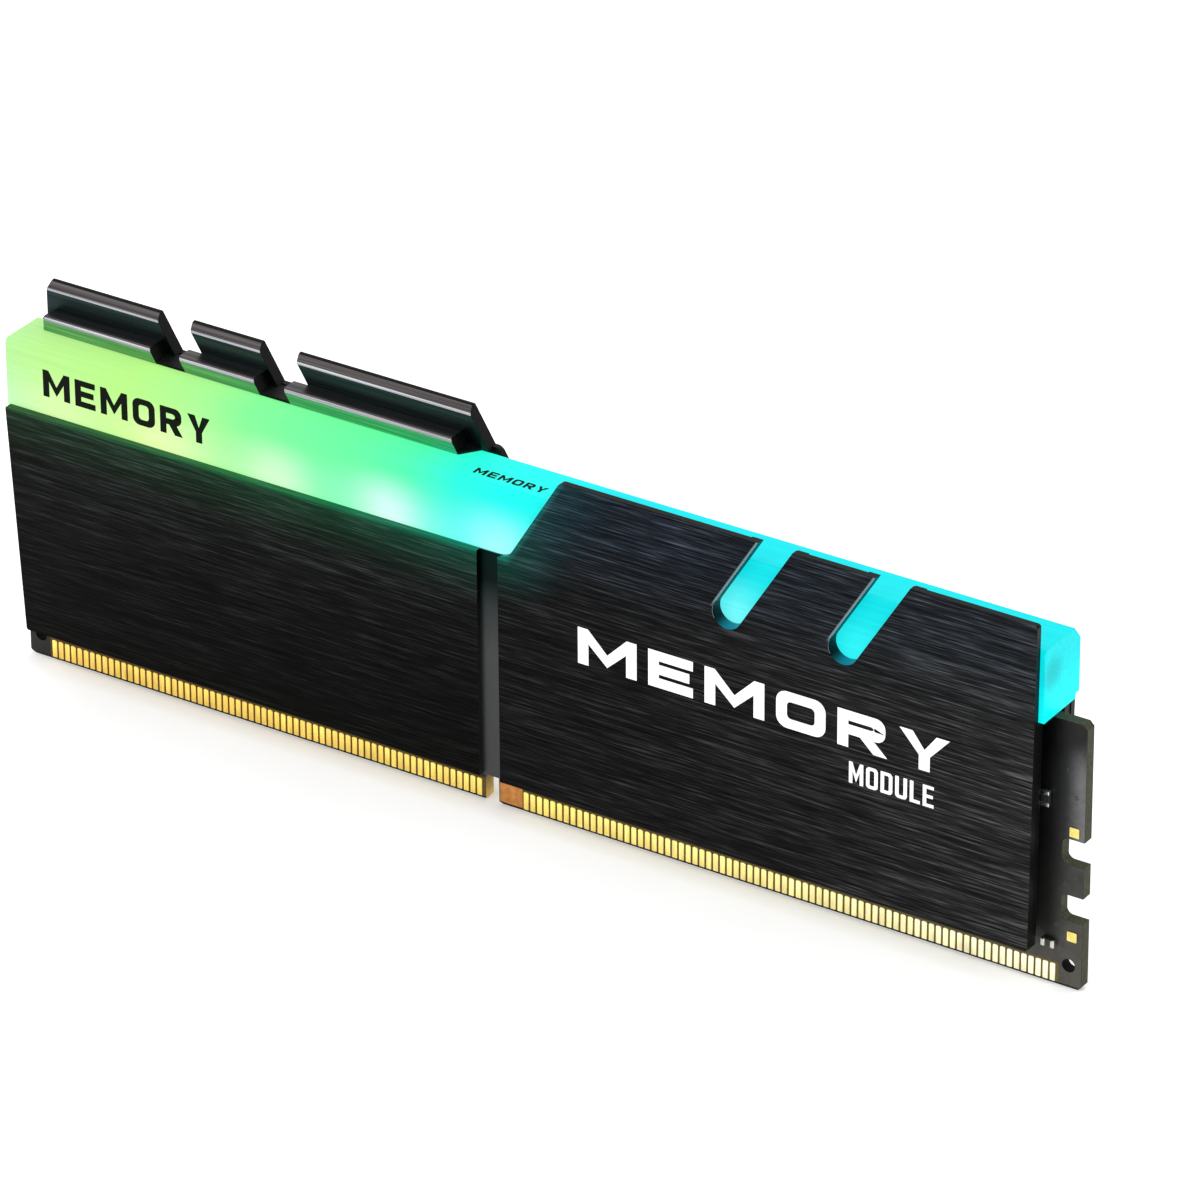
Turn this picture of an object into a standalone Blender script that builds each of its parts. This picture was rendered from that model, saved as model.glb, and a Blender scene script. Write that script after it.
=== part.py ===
"""Light-bar memory module (288-contact unbuffered DIMM with finned heat spreaders).

Frame: metres, +Z up. Origin at the middle of the board's card edge: X runs along
the board, Y through its thickness (front spreader on -Y), Z from the card edge up.
All constants below are in millimetres.
"""

import math

import bmesh
import bpy

MM = 0.001

# ---- board ---------------------------------------------------------------
BOARD_L = 133.35
BOARD_H = 31.25
BOARD_T = 1.4
HALF_L = BOARD_L / 2
HALF_T = BOARD_T / 2
KEY_X = -5.575          # centre of the keying notch
KEY_W = 1.6
KEY_H = 3.9
KEY_LEAD = 0.25         # lead-in chamfer at the notch's mouth
LATCH_LOW = (8.0, 11.0)   # side notches for the socket latches
LATCH_HIGH = (14.6, 17.6)
LATCH_DEPTH = 2.6
LATCH_FILLET = 0.75
HOLE_R = 0.75
HOLE_X = 65.15
HOLE_Z = 2.7
CORNER = 0.5

# ---- contacts --------------------------------------------------------------
PITCH = 0.85
FINGER_W = 0.60
FINGER_Z0 = 0.40
FINGER_Z1 = 2.50
LEFT_FIRST = -63.325
LEFT_COUNT = 67
RIGHT_FIRST = -1.275
RIGHT_COUNT = 77
TIE_H = 0.14
COPPER_GAP = 0.05
COPPER_T = 0.08

# ---- memory chips and small parts --------------------------------------------
CHIP_W = 8.0
CHIP_H = 11.0
CHIP_T = 1.0
CHIP_GAP = 0.06
CHIP_Z = 12.5
CHIP_X = (12.5, 26.5, 40.5, 54.5)
PAD_Z = (11.6, 24.4)
PAD_Y = (1.82, 2.04)
PAD_X = 60.0

# ---- heat spreaders -----------------------------------------------------------
OUT_Y = 4.0             # outer faces at -4.0 and +4.0
SKIN_T = 0.75           # thin lip beside the light bar
INNER_Y = 2.1           # inner face of the thick part
SP_X0 = -66.2
SP_X1 = 62.5
TAPER_L = 1.6           # how far the lower corners come in, left and right
TAPER_R = 0.4
SP_Z0 = 5.0
THICK_Z1 = 31.15
EDGE_Z = 32.1           # top edge where the light bar shows
TALL_Z = 43.0           # top edge of the tall front half
SLANT_BOTTOM = -1.25    # slanted edge of the tall half, at EDGE_Z
SLANT_TOP = 5.45        # and at TALL_Z
GROOVE_X = (-5.0, -2.4)
GROOVE_D = 0.6
SLOT_HALF = 1.75
SLOT_Z = 33.65
SLOT_X = (25.85, 39.8)
SLOT_LEAN = 0.62        # X per Z along the slot
RIM_HALF = 2.9          # flange round each slot, behind the lip
RIM_Y = 2.45
RIM_TOP = 42.6
REAR_TALL_Z = 40.4
REAR_SLANT_TOP = -6.9
REAR_SLANT_BOTTOM = -1.8
LABEL_X = (10.0, 54.0)
LABEL_Z = (9.5, 26.5)
LABEL_DEPTH = 0.14

# ---- fins on the rear spreader -------------------------------------------------
FIN_Z0 = 40.0
FLANGE_T = 0.3          # thin sheet that joins the fins over the light bar
STEP_Y = 0.4
STEP_Z = 41.6
RISER_Y = 2.5
FIN_TOP = 44.5
FIN_LEAN = 0.62         # how far a slanted end runs in X per Z
# left and right ends at the fin's top edge, then at the step's top edge;
# the first fin has a square left end
FINS = (
    (-64.9, -50.5, -63.9, -49.9, True),
    (-46.3, -37.2, -46.15, -36.35, False),
    (-32.5, -10.3, -32.5, -11.1, False),
)

# ---- light bar -------------------------------------------------------------------
BAR_X0 = -66.4
BAR_X1 = 63.0
BAR_Z0 = 31.6
BAR_Z1 = 39.9
BAR_Y = 3.2
BAR_REAR_Y = 3.9
BAR_REAR_EDGE = (1.2, 1.5)  # chamfer along the rear top edge, in Y and Z
BAR_EDGE = 0.5
CHAMBER_Y = 1.9
CHAMBER_Z = 34.0
CHAMBER_END = 1.6

# ---- light emitters on the board's upper edge ---------------------------------------
LED_COUNT = 9
LED_PITCH = 14.4
LED_SHIFT = -2.2
LED_SIZE = (3.0, 1.0, 1.25)
LED_Z0 = 29.7


def clear_scene():
    for obj in list(bpy.data.objects):
        bpy.data.objects.remove(obj, do_unlink=True)


def material(name, colour, roughness, metallic=0.0, emission=None):
    mat = bpy.data.materials.new(name)
    mat.use_nodes = True
    shader = mat.node_tree.nodes["Principled BSDF"]
    shader.inputs["Base Color"].default_value = (*colour, 1.0)
    shader.inputs["Roughness"].default_value = roughness
    shader.inputs["Metallic"].default_value = metallic
    if emission:
        shader.inputs["Emission Color"].default_value = (*emission, 1.0)
        shader.inputs["Emission Strength"].default_value = 1.0
    return mat


def mesh_object(name, bm, mat, helper=False):
    bmesh.ops.recalc_face_normals(bm, faces=bm.faces)
    mesh = bpy.data.meshes.new(name)
    bm.to_mesh(mesh)
    bm.free()
    obj = bpy.data.objects.new(name, mesh)
    bpy.context.scene.collection.objects.link(obj)
    if mat:
        mesh.materials.append(mat)
    if helper:
        obj.hide_render = True
        obj.display_type = "WIRE"
    return obj


def prism(name, outline, low, high, plane, mat=None, helper=False):
    """A closed solid: the outline drawn in plane XZ, YZ or XY and carried from low to high along the third axis."""
    bm = bmesh.new()
    place = {
        "XZ": lambda a, b, c: (a * MM, c * MM, b * MM),
        "YZ": lambda a, b, c: (c * MM, a * MM, b * MM),
        "XY": lambda a, b, c: (a * MM, b * MM, c * MM),
    }[plane]
    near = [bm.verts.new(place(a, b, low)) for a, b in outline]
    far = [bm.verts.new(place(a, b, high)) for a, b in outline]
    bm.faces.new(near)
    bm.faces.new(list(reversed(far)))
    count = len(outline)
    for i in range(count):
        j = (i + 1) % count
        bm.faces.new((near[i], far[i], far[j], near[j]))
    return mesh_object(name, bm, mat, helper)


def block(name, x, y, z, mat=None, helper=False, bevel=0.0):
    obj = prism(
        name, [(x[0], z[0]), (x[1], z[0]), (x[1], z[1]), (x[0], z[1])], y[0], y[1], "XZ", mat, helper
    )
    if bevel:
        mod = obj.modifiers.new("edges", "BEVEL")
        mod.width = bevel * MM
        mod.segments = 1
        mod.limit_method = "ANGLE"
    return obj


def combine(obj, other, operation):
    mod = obj.modifiers.new(operation.lower() + "_" + other.name, "BOOLEAN")
    mod.operation = operation
    mod.object = other
    mod.solver = "EXACT"


def arc(cx, cz, radius, start, end, steps):
    return [
        (
            cx + radius * math.cos(math.radians(start + (end - start) * i / steps)),
            cz + radius * math.sin(math.radians(start + (end - start) * i / steps)),
        )
        for i in range(steps + 1)
    ]


# ---- printed circuit board ------------------------------------------------------------
def latch_notch(side, z0, z1):
    """Points of one side notch, walked upwards on the right side or downwards on the left."""
    edge = HALF_L
    floor = HALF_L - LATCH_DEPTH
    r = LATCH_FILLET
    right = [(edge, z0)]
    right += arc(floor + r, z0 + r, r, 270, 180, 3)
    right += arc(floor + r, z1 - r, r, 180, 90, 3)
    right += [(edge, z1)]
    if side > 0:
        return right
    return [(-x, z) for x, z in reversed(right)]


def board_outline():
    key_r = KEY_W / 2
    points = [(-HALF_L, CORNER), (-HALF_L + CORNER, 0.0)]
    points += [(KEY_X - key_r - KEY_LEAD, 0.0), (KEY_X - key_r, KEY_LEAD)]
    points += arc(KEY_X, KEY_H - key_r, key_r, 180, 0, 6)
    points += [(KEY_X + key_r, KEY_LEAD), (KEY_X + key_r + KEY_LEAD, 0.0)]
    points += [(HALF_L - CORNER, 0.0), (HALF_L, CORNER)]
    points += latch_notch(1, *LATCH_LOW)
    points += latch_notch(1, *LATCH_HIGH)
    points += [(HALF_L, BOARD_H - CORNER), (HALF_L - CORNER, BOARD_H)]
    points += [(-HALF_L + CORNER, BOARD_H), (-HALF_L, BOARD_H - CORNER)]
    points += latch_notch(-1, *LATCH_HIGH)
    points += latch_notch(-1, *LATCH_LOW)
    return points


def make_board():
    mat = material("board_laminate", (0.030, 0.032, 0.030), 0.45)
    board = prism("pcb", board_outline(), -HALF_T, HALF_T, "XZ", mat)
    for side, x in (("right", HOLE_X), ("left", -HOLE_X)):
        drill = prism(
            "tooling_drill_" + side, arc(x, HOLE_Z, HOLE_R, 0, 330, 11), -2.0, 2.0, "XZ", helper=True
        )
        combine(board, drill, "DIFFERENCE")
    return board


# ---- card-edge contacts -----------------------------------------------------------------
def finger_outline(first, count):
    """A comb: one finger per contact, hanging from the thin plating bar above them."""
    top = FINGER_Z1 + TIE_H
    points = []
    for i in range(count):
        x = first + PITCH * i
        if i:
            points.append((x - FINGER_W / 2, FINGER_Z1))
        points.append((x - FINGER_W / 2, FINGER_Z0))
        points.append((x + FINGER_W / 2, FINGER_Z0))
        if i < count - 1:
            points.append((x + FINGER_W / 2, FINGER_Z1))
    points.append((first + PITCH * (count - 1) + FINGER_W / 2, top))
    points.append((first - FINGER_W / 2, top))
    return points


def make_contacts():
    near = HALF_T + COPPER_GAP
    far = near + COPPER_T
    for side, first, count in (
        ("left", LEFT_FIRST, LEFT_COUNT),
        ("right", RIGHT_FIRST, RIGHT_COUNT),
    ):
        outline = finger_outline(first, count)
        for face, low, high in (("front", -far, -near), ("rear", near, far)):
            mat = material("gold_" + face + "_" + side, (0.83, 0.62, 0.24), 0.28, 1.0)
            prism("contacts_" + face + "_" + side, outline, low, high, "XZ", mat)


# ---- chips, passives and pads --------------------------------------------------------------
def make_chips():
    number = 0
    for face, sign in (("front", -1), ("rear", 1)):
        near = HALF_T + CHIP_GAP
        y = sorted((sign * near, sign * (near + CHIP_T)))
        for i, x in enumerate([-c for c in reversed(CHIP_X)] + list(CHIP_X)):
            number += 1
            mat = material("chip_epoxy_%02d" % number, (0.018, 0.018, 0.020), 0.55)
            block(
                "memory_chip_%s_%d" % (face, i + 1),
                (x - CHIP_W / 2, x + CHIP_W / 2),
                y,
                (CHIP_Z, CHIP_Z + CHIP_H),
                mat,
            )


def make_small_parts():
    front = -(HALF_T + CHIP_GAP)
    small = (
        ("spd_chip", -3.2, 26.2, 3.0, 2.0, 0.75, (0.02, 0.02, 0.022), 0.5, 0.0),
        ("led_driver_chip", 4.4, 25.4, 3.4, 3.4, 0.8, (0.02, 0.02, 0.022), 0.5, 0.0),
        ("voltage_filter_choke", 10.2, 25.8, 2.5, 2.5, 0.95, (0.10, 0.10, 0.105), 0.6, 0.0),
        ("edge_capacitor_upper", 61.7, 20.9, 1.0, 1.8, 0.55, (0.34, 0.30, 0.25), 0.5, 0.0),
        ("edge_capacitor_lower", 62.1, 4.5, 1.6, 0.9, 0.55, (0.34, 0.30, 0.25), 0.5, 0.0),
    )
    for name, x, z, w, h, t, colour, rough, metal in small:
        mat = material(name + "_body", colour, rough, metal)
        block(name, (x, x + w), (front - t, front), (z, z + h), mat)
    for name, x, z in (("test_pad_upper", 64.85, 17.9), ("test_pad_lower", 64.85, 5.6)):
        mat = material(name + "_gold", (0.85, 0.66, 0.30), 0.3, 1.0)
        near = -(HALF_T + COPPER_GAP)
        block(name, (x, x + 1.3), (near - COPPER_T, near), (z, z + 1.3), mat)


def make_pads():
    for face, sign in (("front", -1), ("rear", 1)):
        mat = material("pad_silicone_" + face, (0.42, 0.44, 0.46), 0.85)
        block(
            "thermal_pad_" + face,
            (-PAD_X, PAD_X),
            sorted((sign * PAD_Y[0], sign * PAD_Y[1])),
            PAD_Z,
            mat,
        )


def make_leds():
    width, depth, height = LED_SIZE
    near = HALF_T + CHIP_GAP
    for i in range(LED_COUNT):
        x = (i - (LED_COUNT - 1) / 2) * LED_PITCH + LED_SHIFT
        mat = material("led_%d_lens" % (i + 1), (0.9, 0.9, 0.85), 0.3)
        block(
            "led_%d" % (i + 1),
            (x - width / 2, x + width / 2),
            (-near - depth, -near),
            (LED_Z0, LED_Z0 + height),
            mat,
        )


# ---- light bar ------------------------------------------------------------------------------
def make_light_bar():
    mat = material("diffuser_acrylic", (0.55, 0.95, 0.62), 0.35, emission=(0.35, 0.95, 0.45))
    e = BAR_EDGE
    profile = [
        (-BAR_Y, BAR_Z0),
        (BAR_Y, BAR_Z0),
        (BAR_Y, BAR_Z1),
        (-BAR_Y + e, BAR_Z1),
        (-BAR_Y, BAR_Z1 - e),
    ]
    bar = prism("light_bar", profile, BAR_X0, BAR_X1, "YZ", mat)
    lean = (REAR_SLANT_TOP - REAR_SLANT_BOTTOM) / (REAR_TALL_Z - EDGE_Z)
    gap = 0.35
    boss_z0 = EDGE_Z + 0.1
    boss = prism(
        "light_bar_rear_boss",
        [
            (REAR_SLANT_BOTTOM + gap + lean * (boss_z0 - EDGE_Z), boss_z0),
            (BAR_X1, boss_z0),
            (BAR_X1, BAR_Z1),
            (REAR_SLANT_BOTTOM + gap + lean * (BAR_Z1 - EDGE_Z), BAR_Z1),
        ],
        BAR_Y - 0.4,
        BAR_REAR_Y,
        "XZ",
        helper=True,
    )
    combine(bar, boss, "UNION")
    chamber = block(
        "light_bar_chamber",
        (BAR_X0 + CHAMBER_END, BAR_X1 - CHAMBER_END),
        (-CHAMBER_Y, CHAMBER_Y),
        (BAR_Z0 - 1.0, CHAMBER_Z),
        helper=True,
    )
    combine(bar, chamber, "DIFFERENCE")
    dy, dz = BAR_REAR_EDGE
    wedge = prism(
        "light_bar_rear_wedge",
        [
            (BAR_REAR_Y - dy, BAR_Z1),
            (BAR_REAR_Y, BAR_Z1 - dz),
            (BAR_REAR_Y + 1.0, BAR_Z1 - dz),
            (BAR_REAR_Y + 1.0, BAR_Z1 + 1.0),
            (BAR_REAR_Y - dy, BAR_Z1 + 1.0),
        ],
        BAR_X0 - 1.0,
        BAR_X1 + 1.0,
        "YZ",
        helper=True,
    )
    combine(bar, wedge, "DIFFERENCE")
    for i, x in enumerate(SLOT_X):
        pocket = slanted_slot(
            "light_bar_pocket_%d" % (i + 1), x, 1, False, RIM_HALF + 0.12, RIM_Y - 0.08, OUT_Y + 1
        )
        combine(bar, pocket, "DIFFERENCE")
    return bar


# ---- heat spreaders ----------------------------------------------------------------------------
def slanted_slot(name, x, sign, closed_top, half=SLOT_HALF, inner=BAR_Y - 0.2, outer=OUT_Y + 1):
    """A slanted, round-ended slot through the lip. sign flips it for the rear spreader."""
    length = math.hypot(SLOT_LEAN, 1.0)
    ux, uz = SLOT_LEAN / length, 1.0 / length
    lean = math.degrees(math.atan2(uz, ux))
    run = 5.0 if closed_top else 14.0
    top = (x + ux * run, SLOT_Z + uz * run)
    outline = arc(x, SLOT_Z, half, lean + 90, lean + 270, 8)
    if closed_top:
        outline += arc(top[0], top[1], half, lean - 90, lean + 90, 8)
    else:
        outline += [
            (top[0] + uz * half, top[1] - ux * half),
            (top[0] - uz * half, top[1] + ux * half),
        ]
    outline = [(sign * a, b) for a, b in outline]
    low, high = sorted((-sign * outer, -sign * inner))
    return prism(name, outline, low, high, "XZ", helper=True)


def spreader_core(name, y0, y1, tall_right):
    """The thick lower part, with tapered ends a little inside those of its skin."""
    left = TAPER_L * (EDGE_Z - THICK_Z1) / (EDGE_Z - SP_Z0)
    right = TAPER_R * (tall_right - THICK_Z1) / (tall_right - SP_Z0)
    inset = 0.1
    outline = [
        (SP_X0 + TAPER_L + inset, SP_Z0),
        (SP_X1 - TAPER_R - inset, SP_Z0),
        (SP_X1 - right - inset, THICK_Z1),
        (SP_X0 + left + inset, THICK_Z1),
    ]
    return prism(name, outline, y0, y1, "XZ", helper=True)


def make_front_spreader():
    mat = material("brushed_aluminium_front", (0.035, 0.036, 0.040), 0.42, 0.85)
    slope = (SLANT_TOP - SLANT_BOTTOM) / (TALL_Z - EDGE_Z)
    r = 0.7
    skin = [
        (SP_X0 + TAPER_L, SP_Z0),
        (SP_X1 - TAPER_R, SP_Z0),
        (SP_X1, TALL_Z - 0.3),
        (SP_X1 - 0.3, TALL_Z),
        (SLANT_TOP + 0.5, TALL_Z),
        (SLANT_TOP - slope * 0.4, TALL_Z - 0.4),
        (SLANT_BOTTOM + slope * 1.3, EDGE_Z + 1.3),
        (SLANT_BOTTOM - 0.1, EDGE_Z + 0.3),
        (SLANT_BOTTOM - r - 0.4, EDGE_Z),
        (SP_X0, EDGE_Z),
    ]
    plate = prism("heat_spreader_front", skin, -OUT_Y, -OUT_Y + SKIN_T, "XZ", mat)
    core = spreader_core("front_spreader_core", -OUT_Y + 0.3, -INNER_Y, TALL_Z - 0.3)
    combine(plate, core, "UNION")
    groove = block(
        "front_groove", GROOVE_X, (-OUT_Y - 1.0, -OUT_Y + GROOVE_D), (0.0, EDGE_Z + 0.4), helper=True
    )
    combine(plate, groove, "DIFFERENCE")
    for i, x in enumerate(SLOT_X):
        tag = "front_slot_%d" % (i + 1)
        flange = slanted_slot(tag + "_flange", x, 1, False, RIM_HALF, RIM_Y, OUT_Y - 0.3)
        trim = block(tag + "_trim", (x - 8, x + 18), (-OUT_Y - 1, 0.0), (RIM_TOP, 60), helper=True)
        combine(flange, trim, "DIFFERENCE")
        combine(plate, flange, "UNION")
        combine(plate, slanted_slot(tag, x, 1, False, inner=RIM_Y - 0.4), "DIFFERENCE")
    return plate


def fin_prism(name, profile, left, right):
    """A profile in YZ carried along X between two ends, each end a function of height."""
    bm = bmesh.new()
    near = [bm.verts.new((left(z) * MM, y * MM, z * MM)) for y, z in profile]
    far = [bm.verts.new((right(z) * MM, y * MM, z * MM)) for y, z in profile]
    bm.faces.new(near)
    bm.faces.new(list(reversed(far)))
    count = len(profile)
    for i in range(count):
        j = (i + 1) % count
        bm.faces.new((near[i], far[i], far[j], near[j]))
    return mesh_object(name, bm, None, True)


def make_rear_spreader():
    mat = material("brushed_aluminium_rear", (0.035, 0.036, 0.040), 0.42, 0.85)
    skin = [
        (SP_X0 + TAPER_L, SP_Z0),
        (SP_X1 - TAPER_R, SP_Z0),
        (SP_X1, EDGE_Z),
        (REAR_SLANT_BOTTOM, EDGE_Z),
        (REAR_SLANT_TOP, REAR_TALL_Z),
        (SP_X0, REAR_TALL_Z),
        (SP_X0, EDGE_Z),
    ]
    plate = prism("heat_spreader_rear", skin, OUT_Y - SKIN_T, OUT_Y, "XZ", mat)
    core = spreader_core("rear_spreader_core", INNER_Y, OUT_Y - 0.3, EDGE_Z)
    combine(plate, core, "UNION")
    last = FINS[-1]
    flange = prism(
        "fin_flange",
        [
            (FINS[0][2], STEP_Y + 0.02),
            (last[3] + FIN_LEAN * (STEP_Z - FIN_Z0), STEP_Y + 0.02),
            (last[1] + FIN_LEAN * (FIN_TOP - FIN_Z0), OUT_Y - 0.02),
            (FINS[0][2], OUT_Y - 0.02),
        ],
        FIN_Z0,
        FIN_Z0 + FLANGE_T,
        "XY",
        helper=True,
    )
    combine(plate, flange, "UNION")
    for i, (top_l, top_r, step_l, step_r, square) in enumerate(FINS):

        def end(x, height):
            return lambda z: x + FIN_LEAN * (height - z)

        riser = [
            (RISER_Y, FIN_Z0),
            (OUT_Y, FIN_Z0),
            (OUT_Y, FIN_TOP),
            (RISER_Y + 1.0, FIN_TOP),
            (RISER_Y, FIN_TOP - 0.5),
        ]
        step = [
            (STEP_Y, FIN_Z0),
            (RISER_Y + 0.2, FIN_Z0),
            (RISER_Y + 0.2, STEP_Z),
            (STEP_Y + 0.4, STEP_Z),
            (STEP_Y, STEP_Z - 0.3),
        ]
        riser_left = (lambda z, x=top_l: x) if square else end(top_l, FIN_TOP)
        step_left = (lambda z, x=step_l: x) if square else end(step_l, STEP_Z)
        combine(
            plate,
            fin_prism("fin_riser_%d" % (i + 1), riser, riser_left, end(top_r, FIN_TOP)),
            "UNION",
        )
        combine(
            plate,
            fin_prism("fin_step_%d" % (i + 1), step, step_left, end(step_r, STEP_Z)),
            "UNION",
        )
    groove = block(
        "rear_groove",
        (-GROOVE_X[1], -GROOVE_X[0]),
        (OUT_Y - GROOVE_D, OUT_Y + 1.0),
        (0.0, EDGE_Z + 0.4),
        helper=True,
    )
    combine(plate, groove, "DIFFERENCE")
    pocket = block(
        "label_pocket",
        (LABEL_X[0] - 0.3, LABEL_X[1] + 0.3),
        (OUT_Y - LABEL_DEPTH, OUT_Y + 1.0),
        (LABEL_Z[0] - 0.3, LABEL_Z[1] + 0.3),
        helper=True,
    )
    combine(plate, pocket, "DIFFERENCE")
    for i, x in enumerate(SLOT_X):
        combine(plate, slanted_slot("rear_slot_%d" % (i + 1), x, -1, True), "DIFFERENCE")
    return plate


def make_label():
    mat = material("label_film", (0.80, 0.80, 0.80), 0.5)
    block(
        "blank_label",
        LABEL_X,
        (OUT_Y - LABEL_DEPTH + 0.04, OUT_Y - 0.02),
        LABEL_Z,
        mat,
    )


def main():
    clear_scene()
    make_board()
    make_contacts()
    make_chips()
    make_small_parts()
    make_pads()
    make_leds()
    make_light_bar()
    make_front_spreader()
    make_rear_spreader()
    make_label()


main()
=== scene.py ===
"""Looks for the light-bar memory module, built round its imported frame.

Row frame: metres, +Z up, X along the board, front spreader on -Y, origin at the
middle of the card edge. Sizes below are in millimetres and repeat the CAD's.
"""

import math

import bmesh
import bpy
from mathutils import Matrix, Vector


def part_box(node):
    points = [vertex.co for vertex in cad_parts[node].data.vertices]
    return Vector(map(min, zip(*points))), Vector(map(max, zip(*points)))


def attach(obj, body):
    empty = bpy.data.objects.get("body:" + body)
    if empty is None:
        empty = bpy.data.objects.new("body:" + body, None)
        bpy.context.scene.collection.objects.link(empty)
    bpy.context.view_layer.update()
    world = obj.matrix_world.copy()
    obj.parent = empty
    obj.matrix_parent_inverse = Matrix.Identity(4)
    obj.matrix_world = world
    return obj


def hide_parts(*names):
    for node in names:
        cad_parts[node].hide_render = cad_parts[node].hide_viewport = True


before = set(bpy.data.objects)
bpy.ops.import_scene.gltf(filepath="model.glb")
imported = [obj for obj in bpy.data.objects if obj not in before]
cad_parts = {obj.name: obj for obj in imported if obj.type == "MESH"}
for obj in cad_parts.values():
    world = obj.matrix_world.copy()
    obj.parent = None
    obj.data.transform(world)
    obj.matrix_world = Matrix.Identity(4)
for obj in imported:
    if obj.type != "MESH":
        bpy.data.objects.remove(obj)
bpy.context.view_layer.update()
MM = 0.001

# ---- sizes, as in the CAD --------------------------------------------------------
HALF_L, BOARD_H, HALF_T = 66.675, 31.25, 0.7
KEY_X, KEY_R, KEY_H, KEY_LEAD = -5.575, 0.8, 3.9, 0.25
LATCH_LOW, LATCH_HIGH, LATCH_DEPTH, LATCH_FILLET = (8.0, 11.0), (14.6, 17.6), 2.6, 0.75
HOLE_R, HOLE_X, HOLE_Z = 0.75, 65.15, 2.7
PITCH, FINGER_W, FINGER_Z0, FINGER_Z1 = 0.85, 0.60, 0.40, 2.50
STRIPS = {"left": (-63.325, 67), "right": (-1.275, 77)}
OUT_Y, SKIN_T, INNER_Y = 4.0, 0.75, 2.1
SP_X0, SP_X1, SP_Z0, THICK_Z1, EDGE_Z, TALL_Z = -66.2, 62.5, 5.0, 31.15, 32.1, 43.0
TAPER_L, TAPER_R = 1.6, 0.4
SLANT_BOTTOM, SLANT_TOP = -1.25, 5.45
GROOVE_X, GROOVE_D = (-5.0, -2.4), 0.6
SLOT_HALF, SLOT_Z, SLOT_X, SLOT_LEAN = 1.75, 33.65, (25.85, 39.8), 0.62
RIM_HALF, RIM_Y, RIM_TOP = 2.9, 2.45, 42.6
REAR_TALL_Z, REAR_SLANT_TOP, REAR_SLANT_BOTTOM = 40.4, -6.9, -1.8
LABEL_X, LABEL_Z, LABEL_DEPTH = (10.0, 54.0), (9.5, 26.5), 0.14
FIN_Z0, FLANGE_T, STEP_Y, STEP_Z, RISER_Y, FIN_TOP, FIN_LEAN = 40.0, 0.3, 0.4, 41.6, 2.5, 44.5, 0.62
FINS = (
    (-64.9, -50.5, -63.9, -49.9, True),
    (-46.3, -37.2, -46.15, -36.35, False),
    (-32.5, -10.3, -32.5, -11.1, False),
)
BAR_X0, BAR_X1, BAR_Z0, BAR_Z1 = -66.4, 63.0, 31.6, 39.9
BAR_REAR_EDGE = (1.2, 1.5)
BAR_Y, BAR_REAR_Y, BAR_EDGE = 3.2, 3.9, 0.5
LED_COUNT, LED_PITCH, LED_SHIFT = 9, 14.4, -2.2


# ---- mesh helpers ------------------------------------------------------------------
def link(name, mesh):
    obj = bpy.data.objects.new(name, mesh)
    bpy.context.scene.collection.objects.link(obj)
    return obj


def from_bmesh(name, bm):
    bmesh.ops.recalc_face_normals(bm, faces=bm.faces)
    mesh = bpy.data.meshes.new(name)
    bm.to_mesh(mesh)
    bm.free()
    return link(name, mesh)


def prism(name, outline, low, high, plane="XZ"):
    """A closed solid: the outline drawn in XZ, YZ or XY and carried from low to high along the third axis."""
    place = {
        "XZ": lambda a, b, c: (a * MM, c * MM, b * MM),
        "YZ": lambda a, b, c: (c * MM, a * MM, b * MM),
        "XY": lambda a, b, c: (a * MM, b * MM, c * MM),
    }[plane]
    bm = bmesh.new()
    near = [bm.verts.new(place(a, b, low)) for a, b in outline]
    far = [bm.verts.new(place(a, b, high)) for a, b in outline]
    bm.faces.new(near)
    bm.faces.new(list(reversed(far)))
    for i in range(len(outline)):
        j = (i + 1) % len(outline)
        bm.faces.new((near[i], far[i], far[j], near[j]))
    return from_bmesh(name, bm)


def block(name, x, y, z):
    return prism(name, [(x[0], z[0]), (x[1], z[0]), (x[1], z[1]), (x[0], z[1])], y[0], y[1])


def arc(cx, cz, radius, start, end, steps):
    turn = [math.radians(start + (end - start) * i / steps) for i in range(steps + 1)]
    return [(cx + radius * math.cos(t), cz + radius * math.sin(t)) for t in turn]


def rounded(corners, steps=6):
    """A polygon whose corners (a, b, radius) are turned into arcs."""
    out = []
    for i, (x, z, r) in enumerate(corners):
        if r <= 0:
            out.append((x, z))
            continue
        p = Vector((x, z))
        a = (Vector(corners[i - 1][:2]) - p).normalized()
        b = (Vector(corners[(i + 1) % len(corners)][:2]) - p).normalized()
        half = a.angle(b) / 2
        centre = p + (a + b).normalized() * (r / math.sin(half))
        first = p + a * (r / math.tan(half)) - centre
        last = p + b * (r / math.tan(half)) - centre
        t0 = math.atan2(first.y, first.x)
        turn = math.atan2(last.y, last.x) - t0
        turn = (turn + math.pi) % (2 * math.pi) - math.pi
        for k in range(steps + 1):
            t = t0 + turn * k / steps
            out.append((centre.x + r * math.cos(t), centre.y + r * math.sin(t)))
    return out


def bake(obj):
    """Applies every modifier of obj."""
    graph = bpy.context.evaluated_depsgraph_get()
    mesh = bpy.data.meshes.new_from_object(obj.evaluated_get(graph))
    obj.modifiers.clear()
    old, obj.data = obj.data, mesh
    bpy.data.meshes.remove(old)
    return obj


def boolean(obj, others, operation):
    for other in others:
        mod = obj.modifiers.new("boolean", "BOOLEAN")
        mod.operation, mod.object, mod.solver = operation, other, "EXACT"
    bake(obj)
    for other in others:
        bpy.data.objects.remove(other, do_unlink=True)
    return obj


def bevel(obj, width, segments=2, angle=30):
    mod = obj.modifiers.new("bevel", "BEVEL")
    mod.width, mod.segments = width * MM, segments
    mod.limit_method, mod.angle_limit = "ANGLE", math.radians(angle)
    return bake(obj)


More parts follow.
